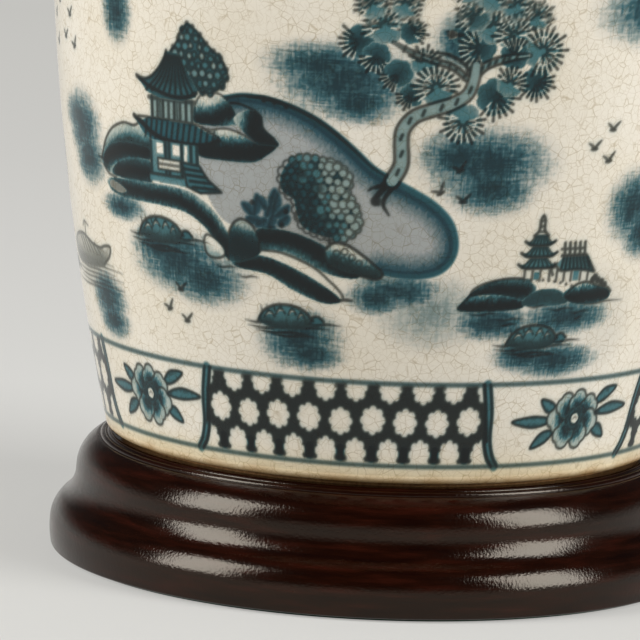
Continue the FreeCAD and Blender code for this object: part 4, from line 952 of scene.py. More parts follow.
# Each head's place, radius and lightness, and the way and spread of its outer needles. The first
# FAR_HEADS of them hang behind the right limb.
FAR_HEADS = 14
PINE_HEADS = ((17.6, 171.4, 4.6, 0, 180, 30), (21.4, 167.6, 5.4, 0.3, 180, 200),
              (25.0, 173.6, 5.6, 0.5, 90, 200), (19.6, 176.6, 5.0, 0.4, 130, 220),
              (24.4, 182.6, 5.4, 0.5, 90, 200), (31.4, 180.0, 5.0, 0.7, 80, 220),
              (17.6, 184.4, 4.6, 0.5, 120, 240), (29.6, 187.4, 4.8, 0.6, 80, 260),
              (22.6, 190.4, 4.4, 0.5, 90, 300), (38.6, 158.0, 5.2, 0, -60, 170),
              (37.4, 176.6, 4.4, 0.8, 80, 230), (31.0, 171.4, 5.4, 0.6, 100, 220),
              (39.8, 166.8, 6.6, 0.9, 10, 260), (31.6, 165.6, 4.8, 0.2, 90, 90),
              (26.8, 153.6, 6.2, 0.15, -30, 210), (30.8, 157.4, 4.6, 0.8, 60, 190),
              (18.0, 146.4, 6.0, 0.85, 260, 230), (-11.4, 168.4, 5.4, 0, 190, 120),
              (-4.8, 173.0, 6.0, 0.6, 95, 230), (-8.4, 179.0, 4.6, 0.5, 110, 240),
              (0.6, 179.6, 4.4, 0.6, 70, 240), (2.6, 171.6, 3.8, 0.2, 30, 170),
              (-6.8, 164.4, 4.6, 0.1, 250, 150), (-0.6, 159.6, 4.8, 0, 220, 80),
              (6.4, 163.0, 4.4, 0.7, 90, 150), (3.2, 153.6, 4.0, 0, 220, 100),
              (10.0, 156.0, 6.0, 0.95, 100, 240))


def pine(pen):
    """An old pine that leans over the lake, from its bared roots to its crown."""
    for root in ([(0, 130.4), (-3.4, 127.4), (-6.6, 126.2), (-7.8, 125.4)],
                 [(-1, 128.6), (-4.6, 124.4), (-6.6, 121.6)],
                 [(0.4, 128), (-2.6, 124.2), (-3.4, 121.4), (-1.6, 118.4)],
                 [(-3.4, 126.6), (-5.8, 123.2), (-4.6, 121.2)]):
        pen.stroke(root, 1.3, 0.95, ends=(1, 0.4))
    pen.dot(-5.6, 122.4, 1.5, 0.9)
    limb(pen, [(20.4, 157.6), (19.4, 164), (21.4, 171), (20.4, 178), (22.4, 187)], 3.4, (1.0, 0.6))
    for each in PINE_HEADS[:FAR_HEADS]:
        head(pen, *each)
    limb(pen, [(19.6, 156), (21.4, 160.4), (24.4, 163.0), (30, 164.8), (36, 165.6)], 2.9, (1.0, 0.5))
    for each in PINE_HEADS[FAR_HEADS:]:
        head(pen, *each)
    limb(pen, [(18.8, 158.4), (14.6, 161.8), (9.2, 163.6), (3.4, 165.6), (-2.4, 168.6)], 2.2, (1.0, 0.5))
    pen.stroke([(19.4, 160.6), (16.6, 163.6), (12.6, 165.6), (8.6, 166.0)], 1.1, 0.95, ends=(0.6, 0.5))
    limb(pen, [(-1.2, 128.4), (1.2, 133.4), (1.0, 139.6), (1.4, 143.6), (4.4, 147.4), (9.6, 149.6),
               (14.6, 151.4), (18.8, 154.2), (20.4, 158.6), (20.8, 162.6)], 4.6, (1.1, 0.75))


# ---------------------------------------------------------------- far things
def turtle_rock(pen, u, v, size):
    """A low rock in the water with a shell-like top and level strokes round it."""
    pen = pen.at(u, v, size)
    shell = [(-11, -0.6), (-9.4, 2.4), (-5.4, 4.6), (0, 5.0), (4.6, 3.6), (7.4, 0.6), (4, -1.8), (-4, -2.6)]
    pen.fill(shell, 0.75, fade=([(-10, -1.4), (0, -2), (7, -0.4)],
                                [(0, 1), (1.8, 0.7), (3.4, 0.2), (5.5, 0.05)]))
    pen.fill(shell, 0.55, "wash", over=False)
    for x, y, radius in ((-7.2, 1.4, 1.5), (-3.4, 2.6, 1.3), (0.6, 2.6, 1.1), (3.6, 1.6, 0.9)):
        pen.wipe([(x - 0.8 * radius, y), (x - 0.2 * radius, y + 0.9), (x + 0.8 * radius, y + 0.7)], 0.6,
                 (0.6, 0.6))
        pen.stroke([(x - 1.2 * radius, y - 0.6), (x, y + 1.6), (x + 1.3 * radius, y - 0.2)], 0.6, 0.9)
    pen.fill([(6.4, -0.4), (7.4, 1.8), (9.4, 2.2), (11.0, 0.8), (9.6, -0.8)], 0.75, "wash")
    pen.stroke([(6.4, -0.4), (7.4, 1.9), (9.4, 2.3), (11.2, 0.8)], 0.8, 0.92)
    for x in (-9.6, -7.6, -5.2, -3.0):
        pen.stroke([(x, 2.4 + 0.2 * (x + 9)), (x - 0.6, 4.6 + 0.2 * (x + 9))], 0.6, 0.9, ends=(1, 0.4))
    pen.stroke([(-11.4, -0.8), (-9.4, 2.6), (-5.4, 4.8), (0, 5.2), (4.6, 3.8), (7.6, 0.8)], 0.9, 0.92)
    ripples(pen, [(-16, -4, -0.9), (-15, 2, -2.4), (-12, 6, -3.6), (-3, 13, -1.6), (4, 17, -0.2),
                  (-7, 9, -4.4)],
            0.8, 0.85)


def island(pen):
    """An island of white-topped mounds with a tower of three roofs and a house, over ripples."""
    bank(pen, [(21, 91.2), (24, 95.6), (29, 98.8), (36, 100.2), (44, 99.6), (45, 95), (41, 93.6),
               (30, 92.4)],
         [(24, 94.6), (31, 96.6), (42, 96.4)], [(0, 1), (1.2, 0.85), (2.4, 0.4), (4, 0.15)])
    bank(pen, [(20.4, 91.4), (23.4, 94.4), (29, 95.6), (36, 95.0), (41.6, 93.0), (40.4, 91.2), (30, 90.4),
               (22, 90.6)],
         [(22, 91.4), (31, 92.0), (40, 92.0)], [(0, 1), (1.3, 0.9), (2.2, 0.25), (3, 0)])
    pen.stroke([(20.6, 91.6), (23.6, 94.6), (25, 97), (29, 99.0), (36, 100.3), (42, 100)], 0.75, 0.92)
    bank(pen, [(41, 92.6), (43.6, 95.6), (48, 96.8), (53, 96.4), (57.4, 93.2), (54, 91.8), (46, 91.6)],
         [(43, 93.2), (49, 94.6), (56, 93.4)], [(0, 0.7), (1.4, 0.7), (2.8, 0.3)], 0.7, 0.95)
    pen.bare([(43, 99.6), (50, 100.6), (57, 97.6), (58, 95.4), (53, 96.8), (47, 97.2)])
    bank(pen, [(55, 94.6), (58.4, 97.4), (63, 98.2), (68.4, 96.6), (72.6, 95.4), (73.4, 93.2), (68, 91.8),
               (60, 92.0)],
         [(57, 93.4), (64, 94.0), (72, 94.2)], [(0, 1), (1.4, 0.9), (2.4, 0.2), (3.4, 0)])
    pen.stroke([(56.4, 95.2), (59.4, 97.6), (63.4, 98.3), (68.4, 96.8), (72, 96.2), (73.8, 94.8)], 0.75,
               0.9)
    for number in range(8):
        pen.dot(43 + 2.1 * number, 99.8 - 0.05 * number ** 2, 0.5, 0.8)
    ripples(pen, [(50, 60, 90.6), (60, 79.6, 91.8), (24, 34, 89.6), (32, 42, 88.0), (34, 40, 86.4),
                  (58, 66, 89.4), (60, 64, 87.6), (43, 50, 91.6)], 0.65)
    tower(pen.at(45, 100))
    house(pen.at(59, 99.4))


def tower(pen):
    """A slim tower of three roofs under a spire."""
    pen.fill([(-4.2, 0), (-4.0, 4), (4.2, 4), (4.6, 0)], 0, curved=False)
    for x in (-4.2, -1.6, 1.0, 4.2):
        pen.stroke([(x, -0.6), (x, 4)], 0.8, 0.85)
    pen.fill([(-1.2, -0.2), (-1.2, 2.0), (0.8, 2.0), (0.8, -0.2)], 0.6, "wash", curved=False)
    for level, half in ((3.2, 5.8), (6.6, 5.2), (10.0, 4.2)):
        roof = [(-half - 0.6, level + 0.9), (-half + 1.4, level + 1.2), (-half * 0.45, level + 3.0),
                (half * 0.45, level + 3.0), (half - 1.4, level + 1.2), (half + 0.6, level + 0.9),
                (half - 0.8, level), (-half + 0.8, level)]
        pen.fill(roof, 0.5, "wash", curved=False)
        for number in range(7):
            x = half * (number - 3) / 3.4
            pen.stroke([(0.5 * x, level + 2.8), (x, level + 0.4)], 0.6, 0.85)
        pen.stroke([(-half - 0.8, level + 1.2), (-half + 1.2, level + 0.1), (0, level - 0.1),
                    (half - 1.2, level + 0.1), (half + 0.8, level + 1.2)], 0.95, 0.95)
    pen.stroke([(-2.4, 12.8), (-0.9, 14.4), (-0.7, 17.4), (0, 18.8), (0.7, 17.4), (0.9, 14.4), (2.4, 12.8)],
               0.9, 0.92)
    for height in (14, 15.6, 17.2):
        pen.stroke([(-0.9, height), (0.9, height)], 0.7, 0.9)


def house(pen):
    """A low house whose roof carries a fence-like crest."""
    for x in (-7.2, -4.6, -2, 1.4, 4.2):
        pen.stroke([(x, -0.4), (x, 3.4)], 0.8, 0.85)
    pen.fill([(-1.4, -0.4), (-1.4, 2.6), (0.8, 2.6), (0.8, -0.4)], 0.55, "wash", curved=False)
    pen.fill([(-7.8, 4.6), (-5.6, 6.8), (3.6, 6.8), (6.4, 1.8), (3, 2.6), (-5.4, 2.8)], 0.45, "wash",
             curved=False)
    for number in range(8):
        x = -6.4 + 1.5 * number
        pen.stroke([(x * 0.75 - 0.6, 7.0), (x + 0.5, 3.0)], 0.9, 0.9)
    pen.stroke([(-8.4, 5.0), (-6, 2.8), (0, 3.0), (6.6, 2.0)], 0.9, 0.9)
    pen.stroke([(-6.2, 7.2), (2.6, 7.2), (6.6, 2.0)], 1.0, 0.92, curved=False)
    pen.stroke([(-6.6, 9.2), (1.8, 9.2)], 0.8, 0.85)
    for number in range(5):
        post = -5.6 + 1.8 * number
        pen.stroke([(post + 0.4, 7.2), (post, 11.0)], 1.0, 0.9)
    pen.stroke([(-8.6, 1.6), (-9.4, 3.4), (-8, 4.0)], 0.9, 0.85)
    for x, y in ((7.4, 0.2), (8.6, -0.8), (10.2, -1.4), (11.6, -2.4), (6.6, -0.6)):
        pen.dot(x, y, 1.1, 0.9)


def boat(pen):
    """A covered boat at anchor among ripples."""
    pen.fill([(-26, 1.4), (-20, 4.8), (-10, 6.2), (0, 4.6), (8, 4.0), (12.4, 5.4), (11, 2.2), (6, -1.6),
              (-10, -3), (-22, -2.6)], 0.5, fade=([(-24, -2), (-8, -2.4), (7, -0.6)],
                                                  [(0, 1.3), (2.5, 1), (6, 0.5)]))
    pen.stroke([(-26, 1.6), (-19, 5), (-10, 6.4), (-2, 5)], 0.9, 0.75)
    pen.stroke([(-2, 4.8), (5, 4.2), (9, 5.2), (12.8, 5.4), (11.6, 2.4), (7, -0.6)], 0.9, 0.8)
    for number in range(6):
        pen.stroke([(-14 + 3 * number, 6.0 - 0.2 * number), (-10 + 3.2 * number, 1.6)], 0.7, 0.7)
    pen.stroke([(-7, 6), (-6.4, 10.6)], 0.8, 0.6)
    pen.stroke([(-9, 9), (-7, 10.6), (-3.4, 9.6)], 0.7, 0.55)
    ripples(pen, [(-26 + 3 * (k % 3), 14 + 2.6 * ((k * 2) % 4), -0.4 - 1.35 * k) for k in range(7)], 0.75,
            0.62)


def front_scene(pen):
    """The lake with its pavilion, pine and banks, seen from the front of the jar."""
    for parts in ([(-15, 157, 15, 8), (-22, 161, 12, 5), (-12, 151, 9, 5)],
                  [(27, 134, 14, 8), (18, 136, 9, 6), (28, 127, 10, 6)],
                  [(-116, 133, 9, 8), (-113, 124, 8, 6), (-119, 136, 9, 5)],
                  [(-70, 99, 14, 7), (-60, 95, 11, 6), (-94, 112, 8, 3), (-78, 102, 9, 5)],
                  [(-92, 170, 5, 7)],
                  [(-28, 80, 10, 7), (-25, 76, 8, 4)],
                  [(2, 96, 10, 4), (-4, 94, 7, 4)],
                  [(32, 87, 10, 4), (58, 88, 13, 4), (56, 75, 12, 4), (44, 77, 8, 4)],
                  [(78, 120, 8, 8), (84, 112, 7, 6)],
                  [(-110, 82, 9, 6), (-108, 76, 8, 4)],
                  [(17, 170, 6, 6)]):
        pen.cloud(parts)
    pen.cloud([(12, 90, 12, 8)], 0.3, 0.3)
    pen.cloud([(66, 85, 12, 12)], 0.0, 0.22)
    for motif in (lake, pine, left_dome, right_rocks, pavilion, bush, near_banks):
        motif(pen)
    for place in ((-75, 106, 1.0), (-31, 85, 0.95), (48, 81, 0.95)):
        turtle_rock(pen, *place)
    island(pen)
    boat(pen.at(-117, 93))
    birds(pen, [(-122, 166, 0), (-127, 159, -10), (-119, 157, 15), (18, 132.6, 10), (12.6, 126, 25),
                (19.6, 123.6, -5), (65.6, 144, -10), (59.6, 138.6, -5), (65.2, 134.8, 0),
                (-69.8, 91.2, -10), (-75.4, 84.8, 12), (-68.2, 82, -5)])


def hills(pen):
    """A far range: a ridge line over washes that thin out downwards."""
    for ridge in ([(-6, 0), (2, 9), (8, 13), (14, 22), (20, 27), (27, 19), (35, 14), (44, 4), (50, 0)],
                  [(-42, 0), (-34, 7), (-27, 11), (-20, 20), (-13, 24), (-6, 17), (1, 14), (10, 5),
                   (17, 0)]):
        pen.fill([*ridge, (ridge[-1][0] - 4, -4), (ridge[0][0] + 4, -4)], 0.7, "wash",
                 fade=(ridge, [(0, 1), (3, 0.6), (9, 0.22), (17, 0)]))
        pen.stroke(ridge, 0.9, 0.85, ends=(0.3, 0.3))
        for a, b, c in zip(ridge[1:], ridge[2:-1], ridge[3:]):
            pen.stroke([b, ((a[0] + c[0]) / 2 + 1, b[1] - 6), (c[0] - 3, b[1] - 11)], 0.6, 0.6,
                       ends=(1, 0.2))
    ripples(pen, [(-46, -20, -3), (-10, 20, -5), (14, 52, -2.6), (-30, 0, -7)], 0.7, 0.6)


def line_round(pen, v, width, tone):
    """A plain line all the way round."""
    for start in (-ROUND / 2, 0):
        for pot in ("line", "wash"):
            pen.stroke([(start, v), (start + ROUND / 2, v)], width, tone, pot, 0.8)


def far_shore(pen):
    """Islands, boats and hills over the lake, on the upper half of the jar and between its two scenes."""
    for parts in ([(-62, 205, 18, 9), (-74, 199, 12, 6)], [(4, 222, 20, 8), (18, 229, 12, 6)],
                  [(78, 178, 15, 8), (88, 171, 10, 6)], [(96, 228, 17, 8)], [(-112, 224, 16, 9)],
                  [(134, 142, 13, 8), (144, 135, 9, 6)], [(176, 86, 14, 6), (166, 80, 10, 5)],
                  [(196, 150, 12, 9)], [(128, 84, 13, 5)], [(-158, 120, 10, 9)], [(-150, 186, 14, 8)],
                  [(168, 200, 15, 8), (156, 194, 10, 5)], [(-44, 251, 15, 7)], [(62, 254, 14, 6)],
                  [(146, 256, 14, 6)], [(-134, 255, 15, 7)], [(206, 236, 16, 8)], [(-176, 232, 14, 7)]):
        pen.cloud(parts)
    hills(pen.at(-154, 204, 0.8))
    hills(pen.at(82, 203, 0.9, mirror=True))
    hills(pen.at(158, 160, 0.85))
    hills(pen.at(-180, 142, 0.6, mirror=True))
    island(pen.at(-78, 128, 0.9))
    island(pen.at(112, 18, 0.95))
    boat(pen.at(44, 243))
    boat(pen.at(214, 124, 0.9, mirror=True))
    boat(pen.at(2, 206, 0.8))
    for place in ((140, 86, 0.9), (-152, 88, 0.9), (108, 178, 0.8)):
        turtle_rock(pen, *place)
    for u, v in ((-36, 190), (60, 200), (118, 166), (-140, 164), (-10, 236), (150, 222), (120, 236),
                 (-82, 238)):
        birds(pen, [(u, v, 0), (u + 7, v + 5, -12), (u + 2, v - 8, 14)])


def lappet(pen):
    """A hanging lappet of the shoulder's border, with a small flower in it."""
    half = [(17.5, 0.6), (18, -7), (13, -13), (6.6, -13.6), (3.6, -18)]
    rim = [*[(-x, y) for x, y in half], (0, -22), *half[::-1]]
    pen.fill(rim, 0.6, "wash", fade=(rim, [(0, 1), (1.6, 0.85), (3.4, 0.2), (5, 0)]))
    pen.stroke(rim, 1.5, 0.95)
    pen.stroke([(0.78 * x, 0.78 * y) for x, y in rim[1:-1]], 0.7, 0.8)
    flower(pen.at(0, -7.4, 0.42))


def border(pen):
    """The band round the foot, with fences and flowers by turns, and the shoulder's lappets."""
    fences = ((-63.5, 34.5), (98.5, 194.5), (258.0, 348.5), (410.5, 508.0))
    for start, end in fences:
        lattice(pen, start, end)
    for here, after in zip(fences, [*fences[1:], (ROUND - 63.5, 0)]):
        flower(pen.at(0.5 * (here[1] + after[0]) + 1.2, 56.2))
    for v, width, tone in ((LINE_HIGH, 1.35, 0.42), (LINE_LOW, 1.25, 0.42), (SHOULDER_LINE, 1.5, 0.6),
                           (SHOULDER_LINE + 12, 1.2, 0.5)):
        line_round(pen, v, width, tone)
    for number in range(LAPPETS):
        u = (number + 0.5) * ROUND / LAPPETS
        here = pen.at(u, SHOULDER_LINE)
        lappet(here)
        for v in (3.6, 8.4):
            here.stroke([(-19, v), (0, 12 - v), (19, v)], 1.1, 0.85)
        here.dot(0, 6, 1.5, 0.9)
        here.dot(ROUND / LAPPETS / 2, 6, 1.5, 0.9)


def lid_border(pen):
    """Flowers round the lid's skirt between two lines, and sprays and a ring on its top."""
    for v, width in ((2.2, 1.2), (20.2, 1.2), (33.6, 1.0), (53.0, 1.4)):
        line_round(pen, LID_LOW + v, width, 0.5)
    between = ROUND / 16
    for number in range(8):
        u = 2 * number * between
        flower(pen.at(u, LID_LOW + 11, 0.82))
        here = pen.at(u, LID_LOW)
        here.cloud([(between, 44, 16, 4.6)])
        for side in (-1, 1):
            leaf(here, (3 * side, 40), (26 * side, 45), 4.5, 0.05 * side)
        here.stroke([(between - 7, 5), (between, 17), (between + 7, 5)], 1.2, 0.85)
        here.dot(0, 43, 4.4, 0.9, "wash", 1.6)
        here.dot(0, 43, 2.4, 0.9)


def spread(pot, run, passes=1):
    """A pot whose colour has run so many mm into the glaze around it."""
    wide = round(run * CELLS) // 2
    for axis in (0, 1) * passes:
        pot = sum(np.roll(pot, k, axis) for k in range(-wide, wide + 1)) / (2 * wide + 1)
    return pot


far_shore(Brush())
front_scene(Brush(ROUND / 2, mirror=True))
front_scene(Brush())
border(Brush())
lid_border(Brush())
pots["line"] = spread(pots["line"], 0.6)
pots["wash"] = np.clip(pots["wash"] + 0.3 * spread(pots["line"], 2.0, 2), 0, 1)


# ---------------------------------------------------------------- base
ROD_HOLE = 5.05                         # the radius of the hole that the rod goes through
turned("turned_base", "base_plinth", "varnished_wood", "root",
       (62.0, 0), (98.8, 0), (99.6, 0.8, 90), (100.0, 7.0, 14), (96.2, 14.9, 51), (92.5, 22.9, -49.6),
       (92.4, 24.4), (86.4, 33.4, 58.9), (85.5, 33.4), (83.55, 34.4, 137), (81.6, 35.0, 112),
       (ROD_HOLE, 35.0), (ROD_HOLE, 15.6), (62.0, 15.6), facets=360, step=0.3)

# ---------------------------------------------------------------- jar
FOOT = span("jar_body")[0]
FOOT_CORNER, FOOT_RADIUS = 2.6, 84.1
BELLY_HEIGHT, BELLY_RADIUS = 191.6, 106.1
BELLY = FOOT + BELLY_HEIGHT
SHOULDER_CURVE = 70.0
LAND_RADIUS = 54.0
WALL = 6.0
SIDE_RUN = BELLY_RADIUS - FOOT_RADIUS
SIDE_CURVE = ((BELLY_HEIGHT - FOOT_CORNER) ** 2 + SIDE_RUN ** 2) / (2 * SIDE_RUN)
SHOULDER_END = BELLY + SHOULDER_CURVE * math.acos(1 - (BELLY_RADIUS - LAND_RADIUS) / SHOULDER_CURVE)


def jar_section(v, depth=0.0):
    """Radius, height and outward slope of the jar's side at places v up the painting, or at a depth
    under its skin."""
    v = np.asarray(v, float)
    over = (v - BELLY) / SHOULDER_CURVE
    swing = np.arcsin(np.clip((v - BELLY) / SIDE_CURVE, -1, 0))
    slope = np.where(v > BELLY, np.clip(over, 0, None), swing)
    radius = np.where(v > BELLY, BELLY_RADIUS - SHOULDER_CURVE * (1 - np.cos(slope)),
                      BELLY_RADIUS - SIDE_CURVE * (1 - np.cos(slope)))
    height = np.where(v > BELLY, BELLY + SHOULDER_CURVE * np.sin(slope), v)
    corner = np.clip((FOOT + FOOT_CORNER - v) / FOOT_CORNER, 0, 1)
    low = np.arcsin(corner)
    radius = np.where(corner > 0, FOOT_RADIUS - FOOT_CORNER * (1 - np.cos(low)), radius)
    slope = np.where(corner > 0, -low, slope)
    return radius - depth * np.cos(slope), height - depth * np.sin(slope), slope


def painted_wall(name, node_name, left, right, outer, inner, places, pitch):
    """A stretch of a thrown wall between two angles in degrees. Its outer skin, whose rows lie at places
    up the painting, is fine enough to hold the brushwork; columns are so many mm apart."""
    around = max(8, math.ceil(math.radians(right - left) * 100 / pitch))
    turns = np.radians(np.linspace(left, right, around + 1))
    radius, height, slope = (np.concatenate([skin, back]) for skin, back in zip(outer, inner))
    tilt = slope + np.where(np.arange(len(slope)) < len(outer[0]), 0, math.pi)
    count = len(radius)
    points = np.stack([np.outer(radius, np.sin(turns)), -np.outer(radius, np.cos(turns)),
                       np.repeat(height[:, None], around + 1, 1)], -1).reshape(-1, 3) * MM
    corner = (np.arange(count)[:, None] * (around + 1) + np.arange(around)[None, :]).ravel()
    above = (((np.arange(count) + 1) % count)[:, None] * (around + 1) + np.arange(around)[None, :]).ravel()
    faces = np.stack([corner, corner + 1, above + 1, above], -1).tolist()
    faces.append([k * (around + 1) for k in range(count)])
    faces.append([k * (around + 1) + around for k in reversed(range(count))])
    mesh = bpy.data.meshes.new(name)
    mesh.from_pydata(points.tolist(), [], faces)
    thing = new_object(name, mesh)
    normals = np.stack([np.outer(np.cos(tilt), np.sin(turns)), -np.outer(np.cos(tilt), np.cos(turns)),
                        np.repeat(np.sin(tilt)[:, None], around + 1, 1)], -1)
    mesh.shade_smooth()
    mesh.normals_split_custom_set_from_vertices(normals.reshape(-1, 3).tolist())
    painted = np.concatenate([places, np.zeros(len(inner[0]))])
    paint_on(mesh, np.repeat(painted[:, None], around + 1, 1).ravel(), np.tile(turns, count) * 100)
    own(thing, "crackle_glaze", "root", node_name)


def paint_on(mesh, v, u):
    """Takes up what the pots hold at each point, as the attribute Pigment."""
    column = (u + ROUND / 2) * CELLS - 0.5
    row = np.clip((v - LOW) * CELLS - 0.5, 0, ROWS - 1.001)
    c0, r0 = np.floor(column).astype(int), np.floor(row).astype(int)
    fc, fr = column - c0, row - r0
    colours = np.zeros((len(u), 4), np.float32)
    colours[:, 3] = 1
    a, b = c0 % COLUMNS, (c0 + 1) % COLUMNS
    for channel, pot in enumerate(pots.values()):
        colours[:, channel] = ((pot[r0, a] * (1 - fc) + pot[r0, b] * fc) * (1 - fr)
                               + (pot[r0 + 1, a] * (1 - fc) + pot[r0 + 1, b] * fc) * fr)
    colours[v < LOW] = (0, 0, 0, 1)
    layer = mesh.attributes.new("Pigment", "FLOAT_COLOR", "POINT")
    layer.data.foreach_set("color", colours.ravel())


FINE_TOP = 173.0                        # below it the painting is seen from near
for name, left, right, low, high, pitch in (
        ("jar_front_left", -100, -42, FOOT, FINE_TOP, 0.42),
        ("jar_front_middle", -42, 16, FOOT, FINE_TOP, 0.42),
        ("jar_front_right", 16, 74, FOOT, FINE_TOP, 0.42),
        ("jar_rear_right", 74, 167, FOOT, FINE_TOP, 0.65),
        ("jar_rear_left", 167, 260, FOOT, FINE_TOP, 0.65),
        ("jar_upper_front", -90, 90, FINE_TOP, SHOULDER_END, 0.72),
        ("jar_upper_rear", 90, 270, FINE_TOP, SHOULDER_END, 0.72)):
    rows = np.linspace(low, high, math.ceil((high - low) / pitch) + 1)
    painted_wall(name, "jar_body", left, right, jar_section(rows),
                 jar_section(np.linspace(high, low, 10), WALL), rows, pitch)


# ---------------------------------------------------------------- lid
LID_SKIRT, LID_RADIUS, LID_WALL = 22.0, 52.0, 4.2
LID_CORNER, LID_CORNER_TURN = 10.0, math.radians(66)
LID_DOME, LID_CROWN_RADIUS, LID_HOLE = 115.0, 26.0, 5.6
CORNER_AXIS = LID_RADIUS - LID_CORNER
DOME_AXIS = CORNER_AXIS - (LID_DOME - LID_CORNER) * math.cos(LID_CORNER_TURN)
DOME_CENTRE = LID_SKIRT - (LID_DOME - LID_CORNER) * math.sin(LID_CORNER_TURN)
DOME_FROM = LID_SKIRT + LID_CORNER * LID_CORNER_TURN
DOME_TURN = math.acos((LID_CROWN_RADIUS - DOME_AXIS) / LID_DOME) - LID_CORNER_TURN
CROWN_FROM = DOME_FROM + LID_DOME * DOME_TURN
LID_WAY = CROWN_FROM + LID_CROWN_RADIUS - LID_HOLE
LID_FOOT = span("jar_lid")[0]


def lid_section(way, depth=0.0):
    """Radius, height and outward slope of the lid at ways up from its rim, or at a depth under its skin."""
    way = np.asarray(way, float)
    slope = (np.clip((way - LID_SKIRT) / LID_CORNER, 0, LID_CORNER_TURN)
             + np.clip((way - DOME_FROM) / LID_DOME, 0, DOME_TURN))
    domed = way > DOME_FROM
    curve_radius = np.where(domed, LID_DOME, LID_CORNER) - depth
    axis = np.where(domed, DOME_AXIS, CORNER_AXIS) - np.clip(way - CROWN_FROM, 0, None)
    centre = np.where(domed, DOME_CENTRE, np.clip(way, None, LID_SKIRT))
    radius, height = axis + curve_radius * np.cos(slope), centre + curve_radius * np.sin(slope)
    slope = np.where(way > CROWN_FROM + 0.1, math.pi / 2, slope)
    return np.maximum(radius, LID_HOLE), height + LID_FOOT, slope


lid_rows = np.linspace(0, LID_WAY, 112)
for name, left, right in (("lid_front", -90, 90), ("lid_rear", 90, 270)):
    painted_wall(name, "jar_lid", left, right, lid_section(lid_rows),
                 lid_section(np.linspace(LID_WAY, 0, 40), LID_WALL), lid_rows + LID_LOW, 1.0)

# ---------------------------------------------------------------- brasswork and the pieces from CAD
turned("spun_cap", "brass_cap", "brass", "root",
       (ROD_HOLE, 0), (24.0, 0), (24.0, 1.6, 180), (23.0, 1.9), (22.4, 2.35, 60), (10.9, 7.6, 27),
       (10.2, 7.4, -50), (10.0, 8.0, 60), (ROD_HOLE, 8.0))
turned("turned_neck", "brass_neck", "brass", "root",
       (ROD_HOLE, 0), (7.6, 0), (7.6, 3.0, 110), (7.2, 3.2), (7.3, 3.9, 120), (6.9, 4.2), (6.9, 25.8, -24),
       (7.3, 26.1), (7.2, 26.8, 120), (7.6, 27.0), (7.6, 30.0, 110), (ROD_HOLE, 30.0), step=0.15)
turned("finial_knob", "finial", "brass", "finial",
       (3.2, 0), (6.5, 0), (6.5, 3.0, 60), (6.1, 3.2), (4.6, 7.5, -38), (9.0, 15.236, 57),
       (3.6, 23.485, 66), (1.8, 29.2, -28), (0.02, 31.0, 90), (0.02, 14.6), (3.2, 14.6))
for name, node_name, slot, body, bevel in (
        ("felt_sheet", "base_felt", "felt", "root", 0.3),
        ("cord_bush", "cord_bushing", "black_plastic", "root", 0.3),
        ("cork_ring", "jar_seat_pad", "cork", "root", 0),
        ("hexagon_nut", "neck_nut", "brass", "root", 0.35),
        ("saddle_strip", "harp_saddle", "brass", "root", 0.25),
        ("harp_wire", "harp", "brass", "root", 0),
        ("harp_stud", "harp_top_stud", "brass", "root", 0.2),
        ("sleeve_left", "ferrule_left", "brass", "ferrule_left", 0.5),
        ("sleeve_right", "ferrule_right", "brass", "ferrule_right", 0.5),
        ("holder_cap", "socket_cap", "brass", "root", 0.15),
        ("holder_shell", "socket_shell", "brass", "root", 0.1),
        ("fibre_liner", "socket_insulator", "insulating_paper", "root", 0),
        ("holder_core", "socket_interior", "black_plastic", "root", 0.2),
        ("screw_shell", "socket_screw_shell", "aluminium", "root", 0.05),
        ("contact_tongue", "centre_contact", "brass", "root", 0.1),
        ("side_screws", "terminal_screws", "brass", "root", 0.2),
        ("switch_key_knob", "switch_knob", "black_plastic", "switch_key", 0.3),
        ("globe", "bulb_glass", "bulb_glass", "bulb", 0),
        ("bulb_screw_cap", "bulb_cap", "aluminium", "bulb", 0.2),
        ("solder_point", "bulb_contact", "solder", "bulb", 0.3),
        ("spider_frame", "shade_spider", "shade_wire", "shade", 0),
        ("bottom_wire", "shade_bottom_ring", "shade_wire", "shade", 0)):
    dressed(name, node_name, slot, body, bevel)

# the pieces that only the open lamp would show keep their solids
for name, slot in (("base_weight", "cast_iron"), ("bottom_nut", "steel"), ("bottom_washer", "steel"),
                   ("threaded_rod", "steel"), ("jar_bottom_bushing", "rubber")):
    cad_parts[name].data.materials.clear()
    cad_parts[name].data.materials.append(FINISH[slot])


# ---------------------------------------------------------------- shade
SHADE_LOW, SHADE_HIGH, BOTTOM_RADIUS = span("shade_fabric")
TOP_RADIUS = 142.0
SHADE_SLOPE = (BOTTOM_RADIUS - TOP_RADIUS) / (SHADE_HIGH - SHADE_LOW)


def cloth_band(name, node_name, slot, low, high, outside, thickness, rows, facets=240):
    """A tapered band of cloth between two heights over the shade's bottom edge. Its UV map, in metres,
    runs round the band and up it."""
    way = np.linspace(low, high, rows + 1)
    section = [(BOTTOM_RADIUS - SHADE_SLOPE * z + outside - behind, z + SHADE_LOW)
               for behind, heights in ((0, way), (thickness, way[::-1])) for z in heights]
    turns = np.linspace(0, 2 * math.pi, facets, endpoint=False)
    points = [(r * MM * math.sin(t), -r * MM * math.cos(t), z * MM) for r, z in section for t in turns]
    count = len(section)
    corners = [((k, j), (k, j + 1), (k + 1, j + 1), (k + 1,
                                                     j)) for k in range(count) for j in range(facets)]
    mesh = bpy.data.meshes.new(name)
    mesh.from_pydata(points, [], [[k % count * facets + j % facets for k, j in face] for face in corners])
    chart = mesh.uv_layers.new(name="cloth")
    for loop, (k, j) in enumerate(corner for face in corners for corner in face):
        chart.data[loop].uv = (2 * math.pi * j / facets * BOTTOM_RADIUS * MM, section[k % count][1] * MM)
    own(tidy(new_object(name, mesh), 50), slot, "shade", node_name)


